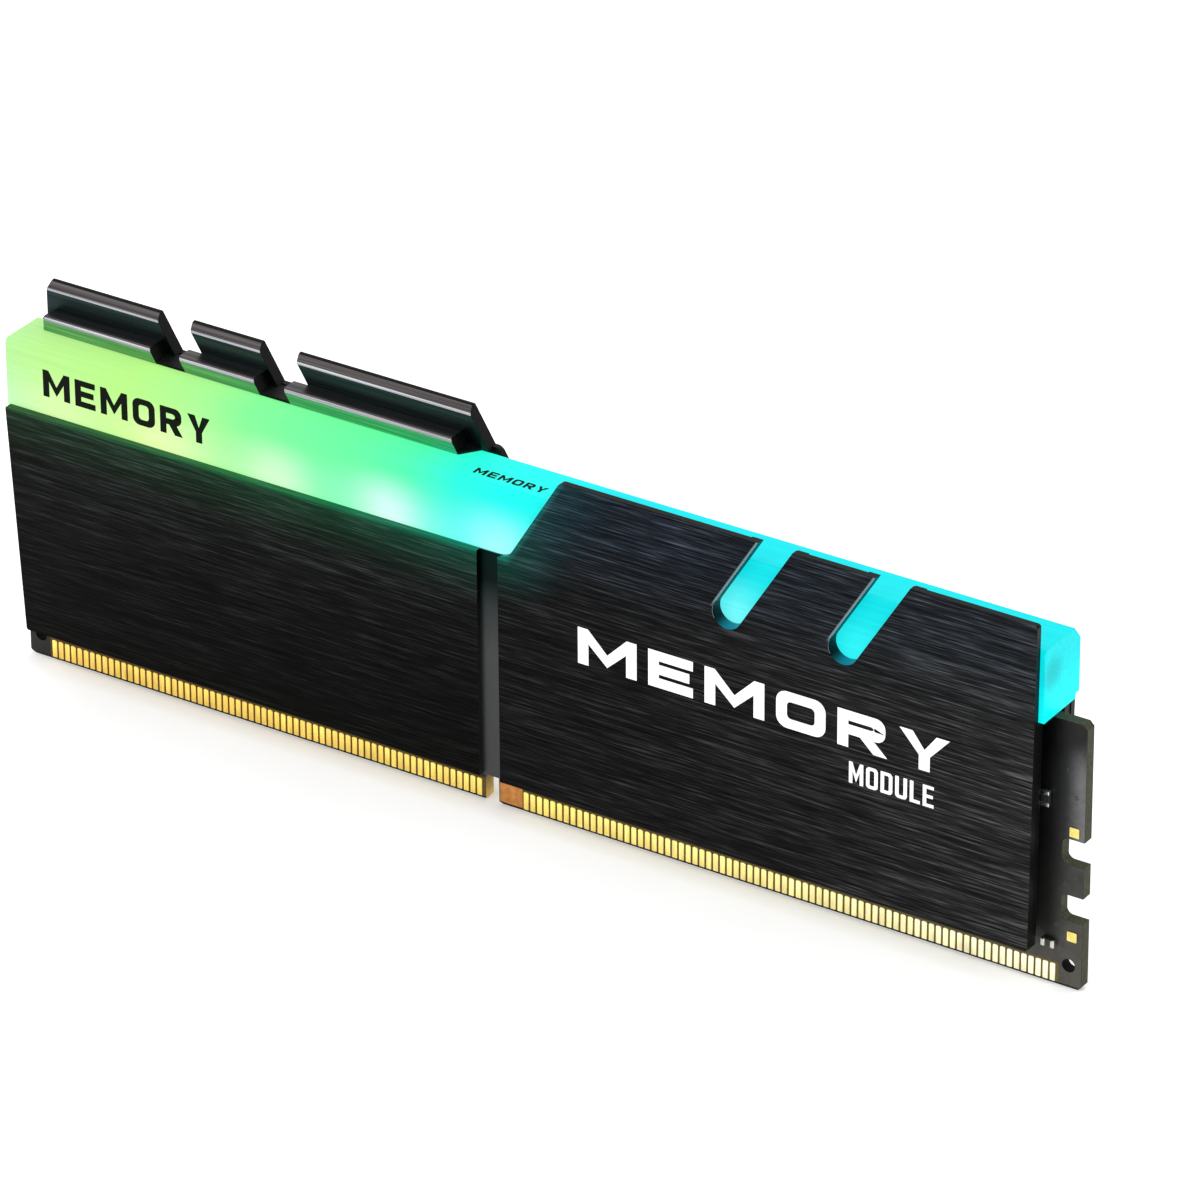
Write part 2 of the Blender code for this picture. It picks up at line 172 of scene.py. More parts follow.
def smooth(obj, angle=35):
    obj.data.polygons.foreach_set("use_smooth", [True] * len(obj.data.polygons))
    obj.data.set_sharp_from_angle(angle=math.radians(angle))
    mod = obj.modifiers.new("normals", "WEIGHTED_NORMAL")
    mod.keep_sharp, mod.weight = True, 60
    return bake(obj)


def join(name, objs):
    bm = bmesh.new()
    for obj in objs:
        part = obj.data
        part.transform(obj.matrix_world)
        bm.from_mesh(part)
        bpy.data.objects.remove(obj, do_unlink=True)
    mesh = bpy.data.meshes.new(name)
    bm.to_mesh(mesh)
    bm.free()
    return link(name, mesh)


def paint(obj, *mats, pick=None):
    """Gives obj its materials; pick(centre, normal) in millimetres returns a slot number for a face."""
    obj.data.materials.clear()
    for mat in mats:
        obj.data.materials.append(mat)
    for face in obj.data.polygons:
        face.material_index = pick(face.center / MM, face.normal) if pick else 0
    return obj


def done(obj, slot, *nodes):
    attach(obj, "root")
    if nodes:
        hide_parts(*nodes)
    return obj


# ---- node helpers --------------------------------------------------------------------
def lin(r, g, b):
    """0-255 display colour to linear."""

    def one(v):
        v /= 255
        return v / 12.92 if v <= 0.04045 else ((v + 0.055) / 1.055) ** 2.4

    return (one(r), one(g), one(b), 1.0)


class Mat:
    """A material and short ways to add nodes to it."""

    def __init__(self, name):
        self.mat = bpy.data.materials.new(name)
        self.mat.use_nodes = True
        self.tree = self.mat.node_tree
        self.shader = self.tree.nodes["Principled BSDF"]

    def set(self, **values):
        for key, value in values.items():
            self.feed(self.shader, key.replace("_", " "), value)
        return self

    def feed(self, node, key, value):
        socket = node.inputs[key]
        if isinstance(value, bpy.types.NodeSocket):
            self.tree.links.new(value, socket)
        else:
            socket.default_value = value

    def add(self, kind, props=None, **inputs):
        node = self.tree.nodes.new("ShaderNode" + kind)
        for key, value in (props or {}).items():
            setattr(node, key, value)
        for key, value in inputs.items():
            self.feed(node, key.replace("_", " "), value)
        return node

    def math(self, operation, a, b=0.0, clamp=False):
        node = self.add("Math", {"operation": operation, "use_clamp": clamp})
        self.feed(node, 0, a)
        self.feed(node, 1, b)
        return node.outputs[0]

    def coords(self):
        return self.add("TexCoord").outputs["Object"]

    def xyz(self):
        """The position in millimetres, as three sockets."""
        split = self.add("SeparateXYZ", Vector=self.coords())
        return [self.math("MULTIPLY", split.outputs[i], 1000.0) for i in range(3)]

    def noise(self, scale, detail=2.0, roughness=0.5, shift=(0, 0, 0)):
        place = self.add("Mapping", Vector=self.coords(), Scale=scale, Location=shift)
        return self.add(
            "TexNoise", Vector=place.outputs[0], Scale=1.0, Detail=detail, Roughness=roughness
        ).outputs[0]

    def span(self, value, a, b, low=0.0, high=1.0, smooth_step=True):
        node = self.add(
            "MapRange", {"interpolation_type": "SMOOTHSTEP" if smooth_step else "LINEAR"}
        )
        for key, v in (("Value", value), ("From Min", a), ("From Max", b), ("To Min", low), ("To Max", high)):
            self.feed(node, key, v)
        return node.outputs[0]

    def ramp(self, value, stops, interpolation="LINEAR"):
        node = self.add("ValToRGB")
        self.feed(node, 0, value)
        band = node.color_ramp
        band.interpolation = interpolation
        while len(band.elements) > 1:
            band.elements.remove(band.elements[-1])
        band.elements[0].position, band.elements[0].color = stops[0]
        for place, colour in stops[1:]:
            band.elements.new(place).color = colour
        return node.outputs[0]

    def mix(self, factor, a, b, kind="MIX"):
        node = self.add("Mix", {"data_type": "RGBA", "blend_type": kind})
        self.feed(node, 0, factor)
        self.feed(node, 6, a)
        self.feed(node, 7, b)
        return node.outputs[2]

    def bump(self, height, strength, distance):
        return self.add("Bump", Height=height, Strength=strength, Distance=distance).outputs[0]


def grey(v):
    return (v, v, v, 1.0)


# ---- materials -------------------------------------------------------------------------
def brushed_metal(name, mirrored=False):
    """Black anodised aluminium, brushed along X, with the light bar's spill near its edges."""
    m = Mat(name)
    x, y, z = m.xyz()
    fine = m.noise((140, 5900, 5900), 3.0, 0.62)
    finer = m.noise((320, 9200, 9200), 2.0, 0.5, (3, 7, 1))
    broad = m.noise((34, 2300, 2300), 2.0, 0.5, (9, 2, 5))
    streak = m.math("ADD", m.math("MULTIPLY", fine, 0.68), m.math("MULTIPLY", finer, 0.32))
    streak = m.math("ADD", streak, m.math("MULTIPLY", m.math("SUBTRACT", broad, 0.5), 0.08))
    gain = m.ramp(
        streak,
        [(0.34, grey(0.14)), (0.45, grey(0.50)), (0.53, grey(1.05)), (0.60, grey(2.5)), (0.69, grey(5.2))],
    )
    # Painted light and shade: the base colour is painted darker towards the bottom of the left plate, lighter towards
    # the right end of the right plate, and given a painted teal tint of the bar's light towards the top.
    left = m.ramp(
        m.span(z, 5.0, 32.0, smooth_step=False),
        [(0.0, lin(10, 10, 9)), (0.45, lin(13, 13, 13)), (0.85, lin(20, 22, 21)), (1.0, lin(22, 29, 27))],
    )
    low = m.ramp(
        m.span(x, -2.0, 62.0, smooth_step=False),
        [(0.0, lin(19, 19, 19)), (0.3, lin(23, 23, 23)), (0.6, lin(29, 29, 29)), (1.0, lin(42, 42, 42))],
    )
    high = m.ramp(
        m.span(x, -2.0, 62.0, smooth_step=False),
        [(0.0, lin(24, 31, 37)), (0.3, lin(26, 31, 38)), (0.7, lin(31, 35, 40)), (1.0, lin(36, 39, 43))],
    )
    right = m.mix(m.span(z, 28.0, 40.0), low, high)
    side = m.span(x, -3.8, -3.6) if not mirrored else m.math("SUBTRACT", 1.0, m.span(x, 3.6, 3.8))
    base = m.mix(side, left, right)
    colour = m.mix(1.0, base, gain, "MULTIPLY")
    m.set(Base_Color=colour, Metallic=1.0)
    m.set(Roughness=m.span(streak, 0.3, 0.7, 0.50, 0.36))
    m.set(Normal=m.bump(streak, 0.20, 0.00003))
    if not mirrored:
        # light that the diffuser throws on the metal right beside it
        slope = (SLANT_TOP - SLANT_BOTTOM) / (TALL_Z - EDGE_Z)
        run = math.hypot(1.0, slope)
        beside = m.math(
            "DIVIDE",
            m.math("SUBTRACT", x, m.math("ADD", m.math("MULTIPLY", m.math("SUBTRACT", z, EDGE_Z), slope), SLANT_BOTTOM)),
            run,
        )
        near_slant = m.math("MULTIPLY", m.span(beside, 8.0, 0.0), m.span(z, 25.0, 33.5))
        rim = m.math("MULTIPLY", m.span(beside, 0.75, 0.2), m.span(z, 31.0, 33.5))
        below = m.math("MULTIPLY", m.span(z, 27.5, 32.2), m.math("MULTIPLY", m.span(x, 6.0, -1.5), m.span(x, -48.0, -8.0)))
        thin = m.math("MULTIPLY", m.span(z, 31.55, 32.05), m.span(x, -0.6, -1.4))
        glow = m.ramp(
            m.span(x, SP_X0, 8.0, smooth_step=False),
            [(0.0, lin(60, 130, 70)), (0.5, lin(20, 150, 80)), (0.85, lin(0, 160, 130)), (1.0, lin(0, 130, 145))],
        )
        amount = m.math("ADD", m.math("MULTIPLY", near_slant, 0.075), m.math("MULTIPLY", below, 0.050))
        amount = m.math("ADD", amount, m.math("MULTIPLY", thin, 0.24))
        amount = m.math("ADD", amount, m.math("MULTIPLY", rim, 0.22))
        amount = m.math("MULTIPLY", amount, m.span(streak, 0.3, 0.7, 0.7, 1.35))
        lit = m.mix(1.0, glow, m.add("CombineColor", Red=amount, Green=amount, Blue=amount).outputs[0], "MULTIPLY")
        # the slots' left edges catch the bar's light as a pale line
        pitch = SLOT_X[1] - SLOT_X[0]
        leaned = m.math("SUBTRACT", x, m.math("MULTIPLY", m.math("SUBTRACT", z, SLOT_Z), SLOT_LEAN))
        edge = SLOT_X[0] - SLOT_HALF * math.hypot(1.0, SLOT_LEAN)
        from_edge = m.math("SUBTRACT", m.math("MODULO", m.math("ADD", leaned, pitch * 0.5 - edge), pitch), pitch * 0.5)
        line = m.math("MULTIPLY", m.span(from_edge, -0.30, -0.18), m.span(from_edge, 0.12, 0.06))
        line = m.math("MULTIPLY", line, m.span(z, SLOT_Z + 0.2, SLOT_Z + 1.4))
        line = m.math("MULTIPLY", line, m.math("MULTIPLY", m.span(leaned, 20.0, 20.5), m.span(leaned, 42.5, 42.0)))
        line = m.math("MULTIPLY", line, 0.42)
        pale = m.mix(1.0, lin(170, 205, 212), m.add("CombineColor", Red=line, Green=line, Blue=line).outputs[0], "MULTIPLY")
        m.set(Emission_Color=m.mix(1.0, lit, pale, "ADD"), Emission_Strength=1.0)
    return m.mat


def groove_metal():
    """The plain, unbrushed floor of the groove: pale in its lower part, with painted shade and a painted green tint of
    the bar's light at its top.
    """
    m = Mat("groove_metal")
    x, y, z = m.xyz()
    colour = m.ramp(
        m.span(z, 5.0, 32.5, smooth_step=False),
        [(0.0, lin(72, 72, 72)), (0.55, lin(70, 71, 71)), (0.74, lin(50, 55, 55)), (0.86, lin(12, 22, 22)), (1.0, lin(4, 26, 22))],
    )
    # painted shade: the floor is painted darker beside the groove's right wall
    wall = m.span(x, GROOVE_X[1] - 0.55, GROOVE_X[1] - 0.1, 1.0, 0.25)
    colour = m.mix(1.0, colour, m.add("CombineColor", Red=wall, Green=wall, Blue=wall).outputs[0], "MULTIPLY")
    grain = m.noise((4000, 4000, 4000), 3.0, 0.6)
    m.set(Base_Color=colour, Metallic=1.0, Roughness=m.span(grain, 0.3, 0.7, 0.36, 0.48))
    m.set(Normal=m.bump(grain, 0.12, 0.00002))
    return m.mat


def fin_metal():
    """Faces of the fins: dark, smooth and glossy enough to mirror the light bar, with a painted green reflection of the
    bar on the lower part of the steps' front faces.
    """
    m = Mat("fin_metal")
    x, y, z = m.xyz()
    fine = m.noise((60, 5200, 5200), 3.0, 0.6)
    # painted reflection: the lower part of the steps' front faces is painted green where the light bar's reflection
    # falls; faces further back are a plain dark teal grey
    colour = m.ramp(
        m.span(z, FIN_Z0, FIN_TOP, smooth_step=False),
        [(0.0, (0.17, 0.33, 0.23, 1.0)), (0.325, (0.17, 0.33, 0.23, 1.0)), (0.36, grey(0.028)), (0.6, grey(0.045)), (1.0, grey(0.050))],
    )
    colour = m.mix(m.span(y, 1.2, 2.2), colour, lin(36, 46, 48))
    gain = m.ramp(fine, [(0.3, grey(0.7)), (0.5, grey(1.0)), (0.7, grey(1.5))])
    m.set(Base_Color=m.mix(1.0, colour, gain, "MULTIPLY"), Metallic=1.0)
    m.set(Roughness=m.span(fine, 0.3, 0.7, 0.32, 0.22), Normal=m.bump(fine, 0.12, 0.00002))
    return m.mat


def machined_metal(name, low, middle, high):
    """Cut faces of the fins: bare metal with fine machining lines along X."""
    m = Mat(name)
    fine = m.noise((40, 9000, 9000), 3.0, 0.6)
    broad = m.noise((14, 3600, 3600), 1.0, 0.5, (4, 4, 4))
    both = m.math("ADD", m.math("MULTIPLY", fine, 0.6), m.math("MULTIPLY", broad, 0.4))
    colour = m.ramp(both, [(0.34, lin(*low)), (0.48, lin(*middle)), (0.60, lin(*high))])
    m.set(Base_Color=colour, Metallic=1.0, Roughness=m.span(both, 0.3, 0.7, 0.40, 0.28))
    m.set(Normal=m.bump(both, 0.2, 0.00002))
    return m.mat


def slot_edge_metal():
    """Polished edge of the slots, catching the bar's light as a pale line."""
    m = Mat("slot_edge_metal")
    grain = m.noise((60, 5200, 5200), 3.0, 0.6)
    colour = m.ramp(grain, [(0.3, lin(150, 170, 175)), (0.7, lin(205, 220, 225))])
    m.set(Base_Color=colour, Metallic=1.0, Roughness=m.span(grain, 0.3, 0.7, 0.30, 0.20))
    m.set(Emission_Color=m.ramp(grain, [(0.3, lin(120, 150, 155)), (0.7, lin(175, 205, 210))]), Emission_Strength=0.7)
    return m.mat


def slot_wall_metal():
    """Inner walls of the slots: black, catching blue and cyan light at the round lower end."""
    m = Mat("slot_wall_metal")
    x, y, z = m.xyz()
    grain = m.noise((2600, 2600, 2600), 3.0, 0.6)
    pitch = SLOT_X[1] - SLOT_X[0]
    along = m.math("SUBTRACT", x, m.math("MULTIPLY", m.math("SUBTRACT", z, SLOT_Z), SLOT_LEAN))
    across = m.math("MODULO", m.math("ADD", along, pitch * 0.5 - SLOT_X[0]), pitch)
    across = m.span(m.math("SUBTRACT", across, pitch * 0.5), -0.9, 1.1)
    lit = m.ramp(
        m.span(z, SLOT_Z - SLOT_HALF, SLOT_Z + 0.6, smooth_step=False),
        [(0.0, lin(19, 135, 160)), (0.25, lin(19, 140, 152)), (0.6, lin(8, 80, 84)), (1.0, lin(0, 8, 8))],
    )
    lit = m.mix(across, lin(0, 12, 18), lit)
    m.set(Base_Color=m.ramp(grain, [(0.35, grey(0.004)), (0.65, grey(0.010))]), Metallic=0.9)
    m.set(Roughness=m.span(grain, 0.3, 0.7, 0.42, 0.56), Normal=m.bump(grain, 0.15, 0.00002))
    m.set(Emission_Color=lit, Emission_Strength=0.75)
    return m.mat


def black_metal():
    """Sheared ends and inner faces, anodised and matt."""
    m = Mat("black_metal")
    grain = m.noise((2600, 2600, 2600), 3.0, 0.6)
    colour = m.ramp(grain, [(0.35, grey(0.0035)), (0.65, grey(0.008))])
    m.set(Base_Color=colour, Metallic=0.9, Roughness=m.span(grain, 0.3, 0.7, 0.42, 0.56))
    m.set(Normal=m.bump(grain, 0.15, 0.00002))
    return m.mat


def diffuser():
    """Frosted acrylic lit from below by the row of emitters: green at one end, cyan at the other."""
    m = Mat("lit_diffuser")
    x, y, z = m.xyz()

    def stops(rows):
        return [((px - BAR_X0) / (BAR_X1 - BAR_X0), lin(*c)) for px, c in rows]

    along = m.span(x, BAR_X0, BAR_X1, smooth_step=False)
    upper = m.ramp(
        along,
        stops([
            (-66.4, (176, 232, 150)), (-62, (178, 232, 138)), (-50, (176, 238, 130)), (-41, (162, 240, 142)),
            (-35, (128, 244, 146)), (-29, (114, 248, 152)), (-20, (98, 252, 158)), (-14, (78, 250, 172)),
            (-8, (40, 250, 214)), (-2, (26, 242, 230)), (10, (10, 222, 230)), (63, (2, 222, 228)),
        ]),
    )
    lower = m.ramp(
        along,
        stops([
            (-66.4, (196, 250, 190)), (-62, (198, 252, 172)), (-53, (206, 252, 158)), (-47, (222, 250, 166)),
            (-38, (186, 249, 170)), (-26, (146, 253, 182)), (-17, (150, 252, 212)), (-5, (100, 252, 246)),
            (10, (30, 246, 250)), (63, (10, 246, 248)),
        ]),
    )
    low = m.span(z, 38.6, 32.0)
    wave = m.math("MULTIPLY", m.math("SUBTRACT", x, LED_SHIFT), 2 * math.pi / LED_PITCH)
    spot = m.math("ADD", m.math("MULTIPLY", m.math("COSINE", wave), 0.5), 0.5)
    spot = m.math("POWER", spot, 1.35)
    spot = m.math("MULTIPLY", spot, m.span(z, 38.6, 32.2))
    strength = m.ramp(
        along,
        [(p, grey(v)) for p, v in (
            ((-60 - BAR_X0) / 129.4, 0.45), ((-47 - BAR_X0) / 129.4, 0.55), ((-31 - BAR_X0) / 129.4, 0.72),
            ((-17 - BAR_X0) / 129.4, 0.95), ((-3 - BAR_X0) / 129.4, 0.62), ((14 - BAR_X0) / 129.4, 0.35),
            ((26 - BAR_X0) / 129.4, 0.45), ((35 - BAR_X0) / 129.4, 0.08), ((60 - BAR_X0) / 129.4, 0.05),
        )],
    )
    white = m.ramp(along, stops([(-60, (226, 250, 176)), (-46, (240, 250, 186)), (-31, (214, 250, 206)), (-17, (206, 253, 236)), (-3, (186, 253, 252)), (40, (150, 253, 253))]))
    cloud = m.noise((55, 60, 90), 2.0, 0.5)
    glow = m.mix(m.math("MULTIPLY", low, 0.75), upper, lower)
    glow = m.mix(m.math("MULTIPLY", m.math("MULTIPLY", spot, strength), m.span(cloud, 0.35, 0.6, 0.75, 1.1), True), glow, white)
    # the end face is dimmer where the last emitter's light does not reach
    off_y = m.math("ADD", y, 1.6)
    off_z = m.math("SUBTRACT", z, 36.8)
    far = m.math("SQRT", m.math("ADD", m.math("MULTIPLY", off_y, off_y), m.math("MULTIPLY", off_z, off_z)))
    patch = m.math("MULTIPLY", m.span(far, 2.6, 0.6), m.span(x, BAR_X1 - 0.6, BAR_X1 - 0.05))
    glow = m.mix(m.math("MULTIPLY", patch, 0.32), glow, lin(0, 120, 124))
    grain = m.noise((45, 2600, 2600), 3.0, 0.6)
    glow = m.mix(1.0, glow, m.ramp(grain, [(0.3, grey(0.95)), (0.5, grey(1.0)), (0.72, grey(1.06))]), "MULTIPLY")
    m.set(Base_Color=m.mix(0.72, glow, grey(0.0)), Emission_Color=glow, Emission_Strength=0.80)
    m.set(Roughness=m.span(grain, 0.3, 0.7, 0.46, 0.36), Specular_IOR_Level=0.07)
    m.set(Normal=m.bump(grain, 0.06, 0.00002))
    return m.mat


def solder_mask():
    m = Mat("solder_mask")
    x, y, z = m.xyz()
    grain = m.noise((900, 900, 900), 3.0, 0.55)
    weave_a = m.math("SINE", m.math("MULTIPLY", x, 14.0))
    weave_b = m.math("SINE", m.math("MULTIPLY", z, 14.0))
    weave = m.math("MULTIPLY", weave_a, weave_b)
    # Painted shade: the board is painted paler near the card edge and darker towards its top, where the spreader and
    # light bar shade it.
    low = m.ramp(
        m.span(z, 0.0, 31.0, smooth_step=False),
        [(0.0, lin(70, 68, 62)), (0.30, lin(58, 58, 54)), (0.5, lin(36, 38, 36)), (0.85, lin(24, 26, 26)), (1.0, lin(8, 11, 11))],
    )
    # Painted light: a lighter grey strip is painted near the board's right end.
    painted_edge_light = m.math("MULTIPLY", m.span(x, 64.2, 66.3), m.math("MULTIPLY", m.span(z, 13.0, 18.5), m.span(z, 29.5, 25.0)))
    colour = m.mix(m.math("MULTIPLY", painted_edge_light, 0.8), low, lin(104, 103, 105))
    shade = m.span(x, 62.4, 65.2, 0.22, 1.0)
    shade = m.math("MAXIMUM", shade, m.span(z, 5.4, 4.6))
    colour = m.mix(1.0, colour, m.add("CombineColor", Red=shade, Green=shade, Blue=shade).outputs[0], "MULTIPLY")
    between = m.ramp(
        m.span(x, -66.0, 66.0, smooth_step=False),
        [(0.0, lin(78, 56, 16)), (0.5, lin(88, 66, 22)), (1.0, lin(100, 84, 40))],
    )
    fingers = m.math("MULTIPLY", m.span(z, 2.75, 2.6), m.span(m.math("ABSOLUTE", x), 64.1, 63.8))
    # Painted shade: the board is darkened above a diagonal that rises towards its right end.
    high = m.math("SUBTRACT", z, m.math("MULTIPLY", m.math("SUBTRACT", x, 64.0), 0.8))
    dim = m.span(high, 28.4, 26.0, 0.10, 1.0)
    colour = m.mix(1.0, colour, m.add("CombineColor", Red=dim, Green=dim, Blue=dim).outputs[0], "MULTIPLY")
    colour = m.mix(fingers, colour, between)
    colour = m.mix(1.0, colour, m.ramp(grain, [(0.3, grey(0.82)), (0.7, grey(1.15))]), "MULTIPLY")
    both = m.math("ADD", m.math("MULTIPLY", weave, 0.25), grain)
    m.set(Base_Color=colour, Roughness=m.span(grain, 0.3, 0.7, 0.46, 0.34), Specular_IOR_Level=0.26)
    m.set(Normal=m.bump(both, 0.10, 0.00004))
    return m.mat


def laminate_edge():
    """Milled glass laminate: olive, with its layers showing as fine lines."""
    m = Mat("laminate_edge")
    x, y, z = m.xyz()
    layers = m.math("SINE", m.math("MULTIPLY", y, 2 * math.pi / 0.2))
    grain = m.noise((2600, 5200, 2600), 3.0, 0.6)
    mixed = m.math("ADD", m.math("MULTIPLY", layers, 0.16), grain)
    colour = m.ramp(mixed, [(0.25, lin(22, 24, 12)), (0.5, lin(40, 43, 22)), (0.75, lin(72, 68, 40))])
    m.set(Base_Color=colour, Roughness=0.62, Specular_IOR_Level=0.25, Normal=m.bump(mixed, 0.25, 0.00003))
    return m.mat


def key_edge():
    """The keying notch's milled wall: gold-coloured at the card edge and darker towards the top of the notch."""
    m = Mat("key_edge")
    x, y, z = m.xyz()
    grain = m.noise((2600, 5200, 2600), 3.0, 0.6)
    colour = m.ramp(
        m.span(z, 0.2, 4.0, smooth_step=False),
        [(0.0, lin(226, 190, 96)), (0.5, lin(170, 140, 62)), (0.85, lin(84, 74, 34)), (1.0, lin(30, 30, 20))],
    )
    colour = m.mix(1.0, colour, m.ramp(grain, [(0.3, grey(0.8)), (0.7, grey(1.2))]), "MULTIPLY")
    m.set(Base_Color=colour, Roughness=0.5, Metallic=0.3, Normal=m.bump(grain, 0.2, 0.00003))
    return m.mat


def gold():
    """Hard gold plating, painted deeper at the left end of the card and paler to the right as a painted reflection,
    with a painted highlight on the fingers' upper ends and a faint painted glow.
    """
    m = Mat("hard_gold")
    x, y, z = m.xyz()
    along = m.span(x, -64.0, 64.0, smooth_step=False)
    colour = m.ramp(
        along,
        [(0.0, lin(242, 204, 104)), (0.25, lin(247, 211, 106)), (0.5, lin(252, 226, 122)), (0.72, lin(253, 236, 156)), (0.9, lin(252, 243, 196)), (1.0, lin(250, 246, 214))],
    )
    wear = m.noise((1500, 1500, 300), 3.0, 0.6)
    colour = m.mix(1.0, colour, m.ramp(wear, [(0.3, grey(0.88)), (0.5, grey(1.05)), (0.72, grey(1.35))]), "MULTIPLY")
    # painted highlight: the fingers are painted brighter towards their upper ends
    rise = m.span(z, FINGER_Z0, FINGER_Z1, 0.86, 1.06)
    colour = m.mix(1.0, colour, m.add("CombineColor", Red=rise, Green=rise, Blue=rise).outputs[0], "MULTIPLY")
    m.set(Base_Color=colour, Metallic=1.0, Roughness=m.span(wear, 0.3, 0.7, 0.22, 0.38))
    # painted light: the gold is given a faint glow of its own colour
    m.set(Emission_Color=colour, Emission_Strength=0.20)
    m.set(Normal=m.bump(wear, 0.15, 0.00003))
    return m.mat


def speckled(name, dark, light, scale, roughness=(0.5, 0.6), bump=0.15, metallic=0.0):
    m = Mat(name)
    grain = m.noise((scale, scale, scale), 4.0, 0.62)
    m.set(Base_Color=m.ramp(grain, [(0.32, lin(*dark)), (0.68, lin(*light))]), Metallic=metallic)
    m.set(Roughness=m.span(grain, 0.3, 0.7, roughness[0], roughness[1]))
    m.set(Normal=m.bump(grain, bump, 0.00003))
    return m


# ---- pieces -------------------------------------------------------------------------------
def slot_cutter(name, x, sign, closed_top, half=SLOT_HALF, inner=BAR_Y - 0.2, outer=OUT_Y + 1):
    length = math.hypot(SLOT_LEAN, 1.0)
    ux, uz = SLOT_LEAN / length, 1.0 / length
    lean = math.degrees(math.atan2(uz, ux))
    run = 5.0 if closed_top else 14.0
    top = (x + ux * run, SLOT_Z + uz * run)
    outline = arc(x, SLOT_Z, half, lean + 90, lean + 270, 20)
    if closed_top:
        outline += arc(top[0], top[1], half, lean - 90, lean + 90, 20)
    else:
        outline += [
            (top[0] + uz * half, top[1] - ux * half),
            (top[0] - uz * half, top[1] + ux * half),
        ]
    outline = [(sign * a, b) for a, b in outline]
    low, high = sorted((-sign * outer, -sign * inner))
    return prism(name, outline, low, high)


def spreader_core(y0, y1, tall_right):
    left = TAPER_L * (EDGE_Z - THICK_Z1) / (EDGE_Z - SP_Z0)
    right = TAPER_R * (tall_right - THICK_Z1) / (tall_right - SP_Z0)
    inset = 0.1
    return prism("core", [
        (SP_X0 + TAPER_L + inset, SP_Z0), (SP_X1 - TAPER_R - inset, SP_Z0),
        (SP_X1 - right - inset, THICK_Z1), (SP_X0 + left + inset, THICK_Z1),
    ], y0, y1)


def front_spreader(metal, groove, inner, wall, bright):
    outline = rounded([
        (SP_X0 + TAPER_L, SP_Z0, 0.3), (SP_X1 - TAPER_R, SP_Z0, 0.3), (SP_X1, TALL_Z, 0.35), (SLANT_TOP, TALL_Z, 0.7),
        (SLANT_BOTTOM, EDGE_Z, 2.3), (SP_X0, EDGE_Z, 0.3),
    ])
    plate = prism("spreader_front_shell", outline, -OUT_Y, -OUT_Y + SKIN_T)
    core = spreader_core(-OUT_Y + 0.3, -INNER_Y, TALL_Z - 0.3)
    flanges = []
    for x in SLOT_X:
        flange = slot_cutter("flange", x, 1, False, RIM_HALF, RIM_Y, OUT_Y - 0.3)
        trim = block("trim", (x - 8, x + 18), (-OUT_Y - 1, 0.0), (RIM_TOP, 60))
        flanges.append(boolean(flange, [trim], "DIFFERENCE"))
    boolean(plate, [core] + flanges, "UNION")
    cutters = [block("groove", GROOVE_X, (-OUT_Y - 1, -OUT_Y + GROOVE_D), (0.0, EDGE_Z + 0.4))]
    cutters += [slot_cutter("slot", x, 1, False, inner=RIM_Y - 0.4) for x in SLOT_X]
    boolean(plate, cutters, "DIFFERENCE")
    bevel(plate, 0.14, 2)

    def near_slot(c):
        return any(
            abs(c.x - x - SLOT_LEAN * (c.z - SLOT_Z)) < (SLOT_HALF + 0.3) * math.hypot(1, SLOT_LEAN)
            and c.z > SLOT_Z - SLOT_HALF - 0.3
            for x in SLOT_X
        )

    def pick(c, n):
        if GROOVE_X[0] - 0.05 < c.x < GROOVE_X[1] + 0.05 and -OUT_Y + 0.3 < c.y < -3.3:
            return 1
        if near_slot(c) and abs(n.y) < 0.97:
            if c.y > -OUT_Y + 0.13:
                return 3
            return 4 if n.x > 0.12 and c.z > SLOT_Z - 0.8 else 0
        if c.y < -OUT_Y + SKIN_T and c.z > EDGE_Z - 0.4 and c.x < SLANT_TOP + 0.2 and (n.z > 0.3 or n.x < -0.3):
            return 0
        if c.y > -OUT_Y + 0.6 or (abs(n.y) < 0.3 and c.y > -OUT_Y + 0.25):
            return 2
        return 0

    paint(plate, metal, groove, inner, wall, bright, pick=pick)
    done(smooth(plate), "brushed_aluminium", "heat_spreader_front")


